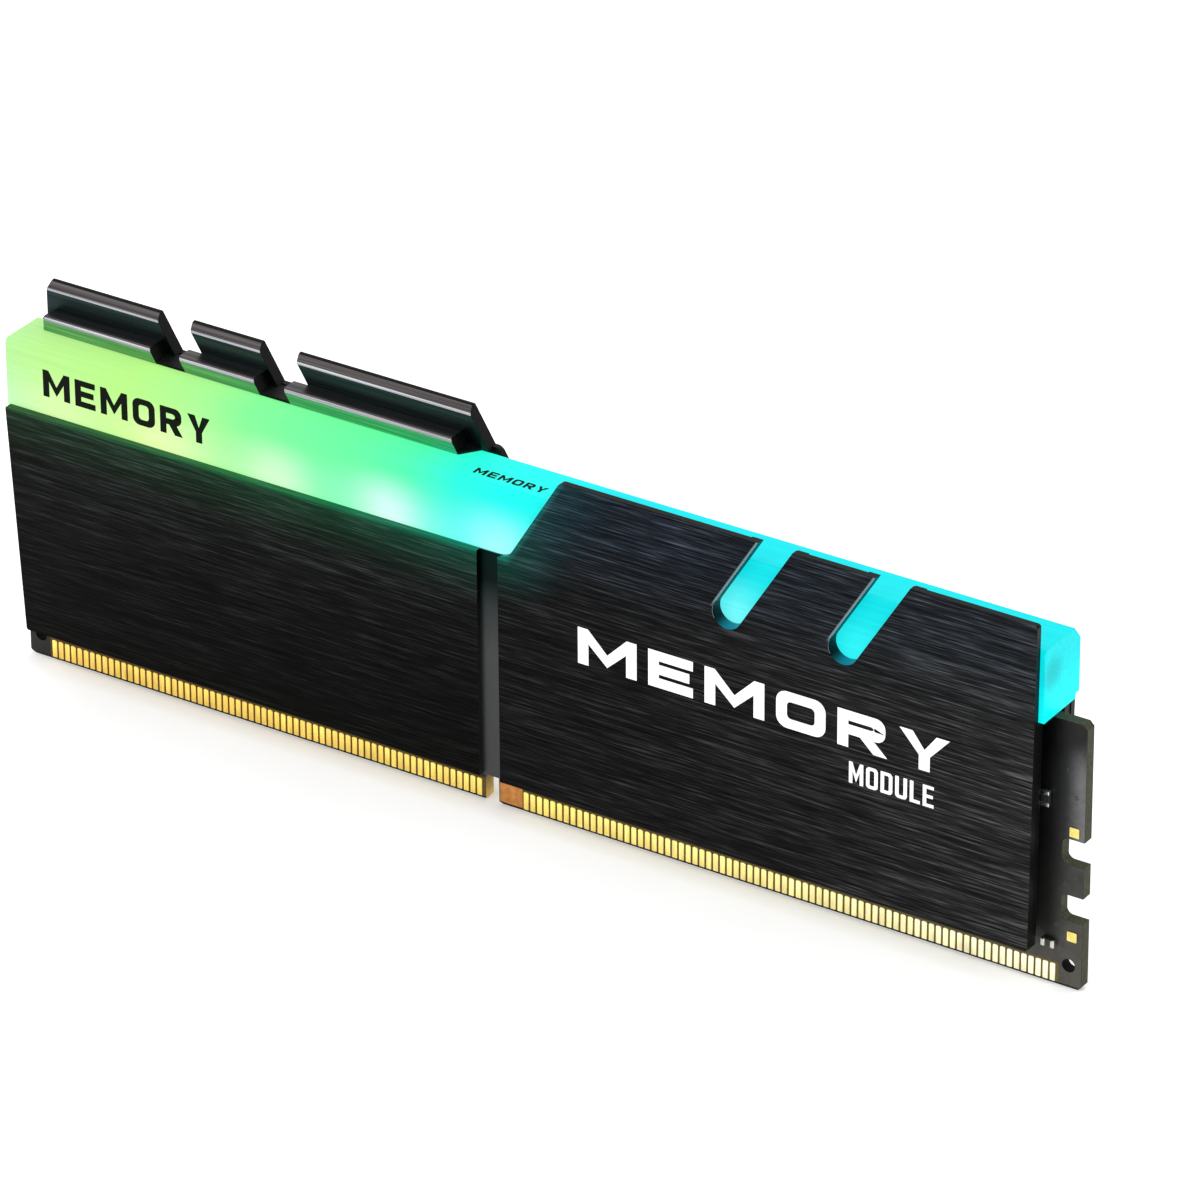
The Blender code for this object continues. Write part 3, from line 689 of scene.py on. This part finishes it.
def rear_spreader(metal, groove, inner, fin, bright, band):
    skin = rounded([
        (SP_X0 + TAPER_L, SP_Z0, 0.3), (SP_X1 - TAPER_R, SP_Z0, 0.3), (SP_X1, EDGE_Z, 0.3),
        (REAR_SLANT_BOTTOM, EDGE_Z, 1.2), (REAR_SLANT_TOP, REAR_TALL_Z, 1.0), (SP_X0, REAR_TALL_Z, 1.2),
        (SP_X0, EDGE_Z, 0),
    ])
    plate = prism("spreader_rear_shell", skin, OUT_Y - SKIN_T, OUT_Y)
    core = spreader_core(INNER_Y, OUT_Y - 0.3, EDGE_Z)
    boolean(plate, [core], "UNION")
    cutters = [
        block("groove", (-GROOVE_X[1], -GROOVE_X[0]), (OUT_Y - GROOVE_D, OUT_Y + 1), (0.0, EDGE_Z + 0.4)),
        block("pocket", (LABEL_X[0] - 0.3, LABEL_X[1] + 0.3), (OUT_Y - LABEL_DEPTH, OUT_Y + 1),
              (LABEL_Z[0] - 0.3, LABEL_Z[1] + 0.3)),
    ]
    cutters += [slot_cutter("slot", x, -1, True) for x in SLOT_X]
    boolean(plate, cutters, "DIFFERENCE")
    bevel(plate, 0.12, 2)

    def pick(c, n):
        if -GROOVE_X[1] - 0.05 < c.x < -GROOVE_X[0] + 0.05 and 3.3 < c.y < OUT_Y - 0.3:
            return 1
        if c.y < OUT_Y - 0.6 or (abs(n.y) < 0.3 and c.y < OUT_Y - 0.25):
            return 2
        return 0

    paint(plate, metal, groove, inner, pick=pick)
    done(smooth(plate), "brushed_aluminium", "heat_spreader_rear")
    last = FINS[-1]
    flange = prism("fin_flange", [
        (FINS[0][2], STEP_Y + 0.02), (last[3] + FIN_LEAN * (STEP_Z - FIN_Z0), STEP_Y + 0.02),
        (last[1] + FIN_LEAN * (FIN_TOP - FIN_Z0), OUT_Y - 0.02), (FINS[0][2], OUT_Y - 0.02),
    ], FIN_Z0, FIN_Z0 + FLANGE_T, "XY")
    paint(flange, inner)
    done(flange, "brushed_aluminium", "heat_spreader_rear")
    for i, (top_l, top_r, step_l, step_r, square) in enumerate(FINS):
        riser = [
            (RISER_Y, FIN_Z0), (RISER_Y, 43.70), (2.62, 43.95), (3.40, 44.42), (3.72, FIN_TOP), (3.92, FIN_TOP),
            (OUT_Y, 44.42), (OUT_Y, FIN_Z0),
        ]
        step = [
            (STEP_Y, FIN_Z0), (STEP_Y, 41.20), (0.58, 41.50), (0.78, STEP_Z), (RISER_Y + 0.05, STEP_Z), (RISER_Y + 0.05, FIN_Z0),
        ]
        for tag, profile, left, right, height, lean_l in (
            ("riser", riser, top_l, top_r, FIN_TOP, not square),
            ("step", step, step_l, step_r, STEP_Z, not square),
        ):
            bm = bmesh.new()
            rings = []
            for x, leaning in ((left, lean_l), (right, True)):
                ring = []
                for y, z in profile:
                    lean = FIN_LEAN * (height - z) if leaning else 0.0
                    ring.append(bm.verts.new(((x + lean) * MM, y * MM, z * MM)))
                rings.append(ring)
            bm.faces.new(rings[0])
            bm.faces.new(list(reversed(rings[1])))
            for a in range(len(profile)):
                b = (a + 1) % len(profile)
                bm.faces.new((rings[0][a], rings[1][a], rings[1][b], rings[0][b]))
            obj = from_bmesh("fin_%s_%d" % (tag, i + 1), bm)
            bevel(obj, 0.05, 2, 50)
            line = (43.66, 43.90) if tag == "riser" else (41.16, 41.50)

            def pick_fin(c, n, line=line):
                if abs(n.x) > 0.2:
                    return 1
                if n.z < 0.12 or c.z < line[0]:
                    return 0
                if c.z > FIN_TOP - 0.06:
                    return 1
                return 2 if c.z < line[1] else 3

            paint(obj, fin, inner, bright, band, pick=pick_fin)
            done(smooth(obj, 20), "brushed_aluminium", "heat_spreader_rear")


def light_bar(mat):
    profile = rounded([
        (-BAR_Y, BAR_Z0, 0.1), (BAR_Y, BAR_Z0, 0.1), (BAR_Y, BAR_Z1, 0.1), (-BAR_Y, BAR_Z1, 0.55),
    ], 5)
    bar = prism("diffuser_bar", profile, BAR_X0, BAR_X1, "YZ")
    lean = (REAR_SLANT_TOP - REAR_SLANT_BOTTOM) / (REAR_TALL_Z - EDGE_Z)
    z0 = EDGE_Z + 0.1
    boss = prism("boss", [
        (REAR_SLANT_BOTTOM + 0.35 + lean * (z0 - EDGE_Z), z0), (BAR_X1, z0), (BAR_X1, BAR_Z1),
        (REAR_SLANT_BOTTOM + 0.35 + lean * (BAR_Z1 - EDGE_Z), BAR_Z1),
    ], BAR_Y - 0.4, BAR_REAR_Y)
    boolean(bar, [boss], "UNION")
    cutters = [block("chamber", (BAR_X0 + 1.6, BAR_X1 - 1.6), (-1.9, 1.9), (BAR_Z0 - 1.0, 34.0))]
    dy, dz = BAR_REAR_EDGE
    cutters.append(prism("wedge", [
        (BAR_REAR_Y - dy, BAR_Z1), (BAR_REAR_Y, BAR_Z1 - dz), (BAR_REAR_Y + 1, BAR_Z1 - dz),
        (BAR_REAR_Y + 1, BAR_Z1 + 1), (BAR_REAR_Y - dy, BAR_Z1 + 1),
    ], BAR_X0 - 1, BAR_X1 + 1, "YZ"))
    cutters += [slot_cutter("pocket", x, 1, False, RIM_HALF + 0.12, RIM_Y - 0.08, OUT_Y + 1) for x in SLOT_X]
    boolean(bar, cutters, "DIFFERENCE")
    bevel(bar, 0.16, 3)
    paint(bar, mat)
    done(smooth(bar, 30), "diffuser", "light_bar")


def latch_points(side, z0, z1):
    floor, r = HALF_L - LATCH_DEPTH, LATCH_FILLET
    right = [(HALF_L, z0)]
    right += arc(floor + r, z0 + r, r, 270, 180, 8)
    right += arc(floor + r, z1 - r, r, 180, 90, 8)
    right += [(HALF_L, z1)]
    return right if side > 0 else [(-x, z) for x, z in reversed(right)]


def board(mask, edge, key, rim):
    c = 0.5
    points = [(-HALF_L, c), (-HALF_L + c, 0.0)]
    points += [(KEY_X - KEY_R - KEY_LEAD, 0.0), (KEY_X - KEY_R, KEY_LEAD)]
    points += arc(KEY_X, KEY_H - KEY_R, KEY_R, 180, 0, 16)
    points += [(KEY_X + KEY_R, KEY_LEAD), (KEY_X + KEY_R + KEY_LEAD, 0.0)]
    points += [(HALF_L - c, 0.0), (HALF_L, c)]
    points += latch_points(1, *LATCH_LOW) + latch_points(1, *LATCH_HIGH)
    points += [(HALF_L, BOARD_H - c), (HALF_L - c, BOARD_H)]
    points += [(-HALF_L + c, BOARD_H), (-HALF_L, BOARD_H - c)]
    points += latch_points(-1, *LATCH_HIGH) + latch_points(-1, *LATCH_LOW)
    pcb = prism("board_detail", points, -HALF_T, HALF_T)
    cutters = [prism("drill", arc(s * HOLE_X, HOLE_Z, HOLE_R, 0, 350, 35), -2, 2) for s in (1, -1)]
    for s in (1, -1):
        wedge = [(s * 0.42, -0.2), (s * 0.47, 0.0), (s * 0.705, 0.36), (s * 1.5, 0.36), (s * 1.5, -0.2)]
        cutters.append(prism("wedge", wedge, -70, 70, "YZ"))
    boolean(pcb, cutters, "DIFFERENCE")
    bevel(pcb, 0.03, 1, 60)

    def pick(p, n):
        if abs(n.y) > 0.9:
            return 0
        if p.z < 0.4 and abs(n.y) > 0.5:
            return 3
        if abs(p.x - KEY_X) < 1.3 and p.z < 4.2:
            return 2
        if math.hypot(abs(p.x) - HOLE_X, p.z - HOLE_Z) < 0.9:
            return 3
        return 1

    paint(pcb, mask, edge, key, rim, pick=pick)
    done(smooth(pcb, 30), "board", "pcb")


def contacts(mat):
    for side, (first, count) in STRIPS.items():
        for face, sign in (("front", -1), ("rear", 1)):
            bm = bmesh.new()
            low, high = HALF_T - 0.01, HALF_T + 0.13
            for i in range(count):
                x = first + PITCH * i
                ring = rounded([
                    (x - FINGER_W / 2, FINGER_Z0, 0.06), (x + FINGER_W / 2, FINGER_Z0, 0.06),
                    (x + FINGER_W / 2, FINGER_Z1, 0.17), (x - FINGER_W / 2, FINGER_Z1, 0.17),
                ], 3)
                inset = rounded([
                    (x - FINGER_W / 2 + 0.04, FINGER_Z0 + 0.04, 0.04), (x + FINGER_W / 2 - 0.04, FINGER_Z0 + 0.04, 0.04),
                    (x + FINGER_W / 2 - 0.04, FINGER_Z1 - 0.04, 0.14), (x - FINGER_W / 2 + 0.04, FINGER_Z1 - 0.04, 0.14),
                ], 3)
                layers = [
                    [bm.verts.new((a * MM, sign * y * MM, b * MM)) for a, b in outline]
                    for outline, y in ((ring, low), (ring, high - 0.04), (inset, high))
                ]
                bm.faces.new(layers[0])
                bm.faces.new(list(reversed(layers[2])))
                for lower, upper in zip(layers, layers[1:]):
                    for a in range(len(ring)):
                        b = (a + 1) % len(ring)
                        bm.faces.new((lower[a], upper[a], upper[b], lower[b]))
            obj = from_bmesh("fingers_%s_%s" % (face, side), bm)
            paint(obj, mat)
            done(smooth(obj, 50), "gold", "contacts_%s_%s" % (face, side))


def bevelled_from_node(name, node, width, segments=3):
    lo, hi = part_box(node)
    lo, hi = lo / MM, hi / MM
    obj = block(name, (lo.x, hi.x), (lo.y, hi.y), (lo.z, hi.z))
    return bevel(obj, width, segments), lo, hi


def chips(epoxy, ink):
    for face, sign in (("front", -1), ("rear", 1)):
        for i in range(1, 9):
            node = "memory_chip_%s_%d" % (face, i)
            lo, hi = (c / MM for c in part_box(node))
            obj = block("package_%s_%d" % (face, i), (lo.x, hi.x), (lo.y, hi.y), (lo.z, hi.z))
            outer = lo.y if sign < 0 else hi.y
            dimple = prism(
                "dimple", arc(lo.x + 0.9, hi.z - 0.9, 0.35, 0, 345, 23),
                outer - 0.08, outer + 0.08,
            )
            boolean(obj, [dimple], "DIFFERENCE")
            bevel(obj, 0.09, 2)
            paint(obj, epoxy, ink, pick=lambda c, n, x=lo.x, z=hi.z, o=outer: int(
                math.hypot(c.x - x - 0.9, c.z - z + 0.9) < 0.33 and abs(c.y - o) > 0.03))
            done(smooth(obj), "chip_epoxy", node)


def ended_part(name, node, slot, body, tin, axis, share):
    """A two-terminal part: a body with a metal cap at each end of its long axis."""
    lo, hi = (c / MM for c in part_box(node))
    ends = [[lo.x, hi.x], [lo.y, hi.y], [lo.z, hi.z]]
    a, b = ends[axis]
    cap = (b - a) * share
    mid = [list(e) for e in ends]
    mid[axis] = [a + cap * 0.5, b - cap * 0.5]
    mid[1] = [lo.y + 0.05, hi.y]
    pieces = [bevel(block("body", *mid), 0.05, 2)]
    paint(pieces[0], body, tin)
    for start, end in ((a, a + cap), (b - cap, b)):
        tip = [list(e) for e in ends]
        tip[axis] = [start, end]
        obj = bevel(block("cap", *tip), 0.09, 3)
        obj.data.materials.append(body)
        obj.data.materials.append(tin)
        obj.data.polygons.foreach_set("material_index", [1] * len(obj.data.polygons))
        pieces.append(obj)
    joined = join(name, pieces)
    joined.data.materials.append(body)
    joined.data.materials.append(tin)
    done(smooth(joined), slot, node)


def small_parts(epoxy, ink, tin, ceramic, ferrite, dark, gold_mat):
    for node in ("spd_chip", "led_driver_chip"):
        obj, lo, hi = bevelled_from_node(node + "_detail", node, 0.06)
        legs = []
        for k in range(4):
            z = lo.z + (hi.z - lo.z) * (k + 0.5) / 4
            for x0, x1 in ((lo.x - 0.22, lo.x + 0.05), (hi.x - 0.05, hi.x + 0.22)):
                legs.append(bevel(block("leg", (x0, x1), (hi.y - 0.16, hi.y - 0.04), (z - 0.13, z + 0.13)), 0.03, 1))
        paint(obj, epoxy, tin)
        for leg in legs:
            leg.data.materials.append(epoxy)
            leg.data.materials.append(tin)
            leg.data.polygons.foreach_set("material_index", [1] * len(leg.data.polygons))
        joined = join(node + "_package", [obj] + legs)
        joined.data.materials.append(epoxy)
        joined.data.materials.append(tin)
        done(smooth(joined), "chip_epoxy", node)
    obj, lo, hi = bevelled_from_node("filter_choke", "voltage_filter_choke", 0.12)
    paint(obj, ferrite)
    done(smooth(obj), "choke_ferrite", "voltage_filter_choke")
    ended_part("edge_part_upper", "edge_capacitor_upper", "capacitor_ceramic", dark, tin, 2, 0.26)
    ended_part("edge_part_lower", "edge_capacitor_lower", "capacitor_ceramic", dark, tin, 0, 0.30)
    for tag in ("upper", "lower"):
        lo, hi = (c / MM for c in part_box("test_pad_" + tag))
        obj = bevel(prism("test_land_" + tag, rounded([
            (lo.x + 0.08, lo.z + 0.08, 0.12), (hi.x - 0.08, lo.z + 0.08, 0.12),
            (hi.x - 0.08, hi.z - 0.08, 0.12), (lo.x + 0.08, hi.z - 0.08, 0.12),
        ], 3), lo.y, hi.y), 0.03, 2)
        paint(obj, gold_mat)
        done(smooth(obj), "gold", "test_pad_" + tag)


def pads(mat):
    for face in ("front", "rear"):
        obj, lo, hi = bevelled_from_node("gap_pad_" + face, "thermal_pad_" + face, 0.06, 2)
        paint(obj, mat)
        done(smooth(obj), "thermal_pad", "thermal_pad_" + face)


def emitters(housing, lens):
    for i in range(1, LED_COUNT + 1):
        node = "led_%d" % i
        lo, hi = (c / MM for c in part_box(node))
        body = bevel(block("body", (lo.x, hi.x), (lo.y, hi.y), (lo.z, hi.z - 0.22)), 0.06, 2)
        dome = rounded([
            (lo.x + 0.35, hi.z - 0.3, 0.0), (hi.x - 0.35, hi.z - 0.3, 0.0),
            (hi.x - 0.35, hi.z, 0.18), (lo.x + 0.35, hi.z, 0.18),
        ], 4)
        window = bevel(prism("window", dome, lo.y + 0.16, hi.y - 0.16), 0.05, 2)
        paint(body, housing, lens)
        window.data.materials.append(housing)
        window.data.materials.append(lens)
        window.data.polygons.foreach_set("material_index", [1] * len(window.data.polygons))
        joined = join("emitter_%d" % i, [body, window])
        joined.data.materials.append(housing)
        joined.data.materials.append(lens)
        done(smooth(joined), "led_lens", node)


def label(film, line):
    lo, hi = (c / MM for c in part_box("blank_label"))
    outline = rounded([(lo.x, lo.z, 0.8), (hi.x, lo.z, 0.8), (hi.x, hi.z, 0.8), (lo.x, hi.z, 0.8)], 8)
    obj = bevel(prism("plain_label", outline, lo.y, hi.y), 0.02, 1)
    paint(obj, film)
    done(smooth(obj), "label_film", "blank_label")
    bars = []
    for x0, x1, z0, z1 in (
        (lo.x + 1.2, hi.x - 1.2, hi.z - 1.35, hi.z - 1.2), (lo.x + 1.2, hi.x - 1.2, lo.z + 1.2, lo.z + 1.35),
        (lo.x + 1.2, lo.x + 1.35, lo.z + 1.35, hi.z - 1.35), (hi.x - 1.35, hi.x - 1.2, lo.z + 1.35, hi.z - 1.35),
        (lo.x + 3.0, lo.x + 24.0, hi.z - 4.6, hi.z - 4.45), (lo.x + 3.0, lo.x + 24.0, hi.z - 7.6, hi.z - 7.45),
        (lo.x + 3.0, lo.x + 24.0, hi.z - 10.6, hi.z - 10.45),
    ):
        bars.append(block("bar", (x0, x1), (hi.y - 0.01, hi.y + 0.012), (z0, z1)))
    rules = join("label_rules", bars)
    paint(rules, line)
    done(rules, "label_film")


def ring(outer, inner):
    """Marks a letter part that has a hole: two outlines with the same number of points."""
    return ("ring", outer, inner)


def glyph(letter, w, h, s):
    """Outlines in millimetres of one plain capital, w wide and h high, with strokes s thick."""
    t = s * 0.88
    if letter == "M":
        return [[(0, 0), (s, 0), (s, h * 0.60), (w / 2, h * 0.10), (w - s, h * 0.60), (w - s, 0), (w, 0), (w, h),
                 (w - s * 0.95, h), (w / 2, h * 0.44), (s * 0.95, h), (0, h)]]
    if letter == "E":
        return [[(0, 0), (w, 0), (w, t), (s, t), (s, (h - t) / 2), (w * 0.92, (h - t) / 2), (w * 0.92, (h + t) / 2),
                 (s, (h + t) / 2), (s, h - t), (w, h - t), (w, h), (0, h)]]
    if letter in "OD":
        r = min(w, h) * 0.30
        k = 0.02 if letter == "D" else r
        q = max(r - s * 0.6, 0.05)
        kq = 0.02 if letter == "D" else q
        return [ring(
            rounded([(0, 0, k), (w, 0, r), (w, h, r), (0, h, k)], 6),
            rounded([(s, t, kq), (w - s, t, q), (w - s, h - t, q), (s, h - t, kq)], 6),
        )]
    if letter == "R":
        m = h * 0.36
        r = (h - m) * 0.40
        q = max(r - s * 0.5, 0.05)
        return [
            ring(
                rounded([(0, m, 0.02), (w * 0.96, m, r), (w * 0.96, h, r), (0, h, 0.02)], 6),
                rounded([(s, m + t, 0.02), (w * 0.96 - s, m + t, q), (w * 0.96 - s, h - t, q), (s, h - t, 0.02)], 6),
            ),
            [(0, 0), (s, 0), (s, m), (0, m)],
            [(w - s * 1.25, 0), (w, 0), (w * 0.66 + s * 0.30, m), (w * 0.66 - s * 0.95, m)],
        ]
    if letter == "Y":
        a = (w - s) / 2
        return [[(a, 0), (a + s, 0), (a + s, h * 0.40), (w, h), (w - s * 1.2, h), (w / 2, h * 0.56), (s * 1.2, h), (0, h),
                 (a, h * 0.40)]]
    if letter == "U":
        r = min(w, h) * 0.28
        q = max(r - s * 0.6, 0.05)
        return [rounded([(0, h, 0), (0, 0, r), (w, 0, r), (w, h, 0), (w - s, h, 0), (w - s, t, q), (s, t, q), (s, h, 0)], 6)]
    return [[(0, 0), (w, 0), (w, t), (s, t), (s, h), (0, h)]]


def ring_prism(name, outer, inner, low, high, place):
    bm = bmesh.new()
    loops = [[bm.verts.new(place(a, b, c)) for a, b in outline] for outline in (outer, inner) for c in (low, high)]
    count = len(outer)
    for a, b in ((0, 1), (1, 3), (3, 2), (2, 0)):
        for i in range(count):
            j = (i + 1) % count
            bm.faces.new((loops[a][i], loops[a][j], loops[b][j], loops[b][i]))
    return from_bmesh(name, bm)


def lettering(name, text, x, place, height, width, stroke, mat, slot, up="Z", depth=0.03):
    """Plain capitals as thin raised ink. place is (y, z) of the lower left corner; up is the way the letters stand."""
    shares = {"M": 1.22, "E": 0.92, "L": 0.86}
    gap = 0.24
    total = sum(shares.get(c, 1.0) for c in text) + gap * (len(text) - 1)
    unit = width / total
    pieces = []
    at = x
    for i, letter in enumerate(text):
        w = shares.get(letter, 1.0) * unit
        for k, part in enumerate(glyph(letter, w, height, stroke)):
            tag = "%s_%d_%d" % (name, i, k)
            if up == "Z":
                low, high, plane = place[0] - depth, place[0] + 0.02, "XZ"
                dx, db = at, place[1]
                spot = lambda a, b, c: (a * MM, c * MM, b * MM)
            else:
                low, high, plane = place[1] - 0.02, place[1] + depth, "XY"
                dx, db = at, place[0]
                spot = lambda a, b, c: (a * MM, b * MM, c * MM)
            if part[0] == "ring":
                outer, inner = ([(a + dx, b + db) for a, b in o] for o in part[1:])
                pieces.append(ring_prism(tag, outer, inner, low, high, spot))
            else:
                pieces.append(prism(tag, [(a + dx, b + db) for a, b in part], low, high, plane))
        at += w + gap * unit
    obj = join(name, pieces)
    paint(obj, mat)
    done(obj, slot)


def board_marks(ring_mat, copper):
    """Plated through-holes and the bare lands by the key."""
    bm = bmesh.new()
    spots = [(64.4, 12.3), (65.7, 13.2), (65.6, 22.6), (64.6, 25.6), (63.6, 7.2), (-65.6, 12.6), (-65.8, 20.2), (-65.9, 24.8)]
    for x, z in spots:
        for sign in (-1, 1):
            steps = 16
            rings = []
            for radius, y in ((0.26, HALF_T - 0.01), (0.24, HALF_T + 0.02), (0.13, HALF_T + 0.02), (0.11, HALF_T - 0.01)):
                rings.append([
                    bm.verts.new(((x + radius * math.cos(2 * math.pi * k / steps)) * MM, sign * y * MM,
                                  (z + radius * math.sin(2 * math.pi * k / steps)) * MM))
                    for k in range(steps)
                ])
            for a in range(4):
                b = (a + 1) % 4
                for k in range(steps):
                    j = (k + 1) % steps
                    bm.faces.new((rings[a][k], rings[a][j], rings[b][j], rings[b][k]))
    vias = from_bmesh("via_rings", bm)
    paint(vias, ring_mat)
    done(smooth(vias, 60), "gold")
    lands = []
    for sign in (-1, 1):
        low, high = sorted((sign * (HALF_T - 0.01), sign * (HALF_T + 0.03)))
        lands.append(bevel(prism(
            "land", rounded([(-4.62, 0.42, 0.1), (-1.75, 0.42, 0.1), (-1.75, 2.75, 0.1), (-4.62, 2.75, 0.1)], 3), low, high,
        ), 0.015, 1))
    land = join("bare_lands", lands)
    paint(land, copper)
    done(smooth(land), "board")


# ---- stage -------------------------------------------------------------------------------
def stage():
    bm = bmesh.new()
    steps, size = 24, 3.0
    grid = [
        [bm.verts.new((-size + 2 * size * i / steps, -size + 2 * size * j / steps, -0.00005)) for j in range(steps + 1)]
        for i in range(steps + 1)
    ]
    for i in range(steps):
        for j in range(steps):
            bm.faces.new((grid[i][j], grid[i + 1][j], grid[i + 1][j + 1], grid[i][j + 1]))
    floor = from_bmesh("studio_floor", bm)
    m = speckled("studio_floor", (244, 244, 244), (248, 248, 248), 30, (0.7, 0.8), 0.0)
    m.set(Specular_IOR_Level=0.1, Emission_Color=(1.0, 1.0, 1.0, 1.0), Emission_Strength=0.18)
    paint(floor, m.mat)

    world = bpy.data.worlds.new("studio")
    world.use_nodes = True
    back = world.node_tree.nodes["Background"]
    back.inputs["Color"].default_value = (1, 1, 1, 1)
    back.inputs["Strength"].default_value = 0.95
    bpy.context.scene.world = world

    for name, place, aim, size, energy in (
        ("key", (-0.35, -0.75, 0.9), (0, 0, 0.02), 0.9, 5.0),
        ("fill", (0.8, -0.3, 0.7), (0, 0, 0.02), 0.8, 2.0),
        ("rim", (0.1, 0.8, 0.9), (0, 0, 0.03), 0.8, 3.0),
    ):
        lamp = bpy.data.lights.new(name, "AREA")
        lamp.shape, lamp.size, lamp.energy = "DISK", size, energy
        obj = bpy.data.objects.new(name, lamp)
        bpy.context.scene.collection.objects.link(obj)
        obj.location = place
        obj.rotation_mode = "QUATERNION"
        obj.rotation_quaternion = (Vector(aim) - Vector(place)).to_track_quat("-Z", "Y")


def camera():
    data = bpy.data.cameras.new("camera")
    data.sensor_width, data.lens = 36.0, 244.642
    data.clip_start, data.clip_end = 0.01, 20.0
    obj = bpy.data.objects.new("camera", data)
    bpy.context.scene.collection.objects.link(obj)
    right = Vector((0.8385249735, 0.5448353702, -0.0055034733))
    down = Vector((0.2581635432, -0.4061791043, -0.8765672366))
    ahead = Vector((-0.4798202307, 0.7336027226, -0.4812479523))
    place = Matrix((right, -down, -ahead)).transposed().to_4x4()
    place.translation = (0.415319, -0.623132, 0.436892)
    obj.matrix_world = place
    bpy.context.scene.camera = obj


def main():
    bpy.context.scene.view_settings.view_transform = "Standard"
    inner = black_metal()
    groove = groove_metal()
    # The fins' chamfers get a bright copy of the machined metal, a painted highlight; their top faces get a darker copy
    # of it.
    bright = machined_metal("machined_edge_highlight", (104, 104, 106), (150, 150, 156), (205, 207, 212))
    band = machined_metal("machined_face", (58, 55, 55), (82, 78, 78), (112, 107, 107))
    front_spreader(brushed_metal("brushed_front"), groove, inner, slot_wall_metal(), slot_edge_metal())
    rear_spreader(brushed_metal("brushed_rear", True), groove, inner, fin_metal(), bright, band)
    light_bar(diffuser())
    gold_mat = gold()
    edge = laminate_edge()
    dark_rim = speckled("hole_rim", (6, 6, 4), (16, 15, 11), 2500, (0.5, 0.7)).set(Specular_IOR_Level=0.05).mat
    board(solder_mask(), edge, key_edge(), dark_rim)
    contacts(gold_mat)
    epoxy = speckled("mould_epoxy", (24, 24, 26), (44, 44, 46), 2600, (0.5, 0.68), 0.3).mat
    mark = speckled("mould_mark", (70, 70, 72), (92, 92, 94), 2600, (0.4, 0.5), 0.2).mat
    chips(epoxy, mark)
    tin = speckled("tinned_end", (170, 168, 160), (226, 224, 216), 1800, (0.24, 0.42), 0.2, 1.0).mat
    ceramic = speckled("ceramic_body", (96, 76, 52), (128, 104, 74), 2600, (0.4, 0.55), 0.2).mat
    dark = speckled("dark_body", (20, 20, 20), (38, 38, 38), 2600, (0.4, 0.55), 0.2).mat
    ferrite = speckled("ferrite", (58, 58, 60), (86, 86, 88), 1900, (0.55, 0.7), 0.35).mat
    land_gold = speckled("land_gold", (232, 212, 112), (250, 234, 146), 1500, (0.3, 0.45), 0.15, 1.0).mat
    small_parts(epoxy, mark, tin, ceramic, ferrite, dark, land_gold)
    pads(speckled("pad_silicone", (150, 156, 162), (176, 182, 188), 900, (0.8, 0.9), 0.3).mat)
    housing = speckled("emitter_housing", (226, 226, 220), (240, 240, 234), 1500, (0.4, 0.5), 0.1).mat
    lens = speckled("emitter_lens", (206, 240, 190), (226, 250, 210), 1500, (0.2, 0.3), 0.05)
    lens.set(Emission_Color=lin(180, 255, 170), Emission_Strength=1.2)
    emitters(housing, lens.mat)
    film = speckled("label_film", (219, 219, 217), (225, 225, 223), 1500, (0.42, 0.52), 0.1).mat
    line = speckled("label_line", (120, 120, 120), (140, 140, 140), 900, (0.5, 0.6), 0.0).mat
    label(film, line)
    black_ink = speckled("black_ink", (3, 7, 2), (9, 16, 6), 2200, (0.5, 0.65), 0.1)
    black_ink.set(Specular_IOR_Level=0.06)
    white_ink = speckled("white_ink", (240, 240, 240), (250, 250, 250), 2200, (0.4, 0.5), 0.1).mat
    lettering("bar_mark", "MEMORY", -61.5, (-BAR_Y, 34.3), 3.2, 22.0, 0.80, black_ink.mat, "diffuser")
    lettering("bar_top_mark", "MEMORY", -6.8, (-1.9, BAR_Z1), 1.2, 8.8, 0.30, black_ink.mat, "diffuser", "Y", 0.02)
    lettering("plate_mark", "MEMORY", 7.6, (-OUT_Y, 22.5), 4.3, 45.0, 1.30, white_ink, "brushed_aluminium")
    lettering("plate_mark_small", "MODULE", 40.7, (-OUT_Y, 18.4), 2.5, 10.1, 0.42, white_ink, "brushed_aluminium")
    copper = speckled("bare_copper", (176, 112, 52), (218, 150, 78), 1500, (0.34, 0.5), 0.2, 0.7).mat
    ring = speckled("via_ring", (46, 46, 40), (70, 68, 56), 1800, (0.35, 0.5), 0.2, 0.4).mat
    board_marks(ring, copper)
    stage()
    camera()


main()
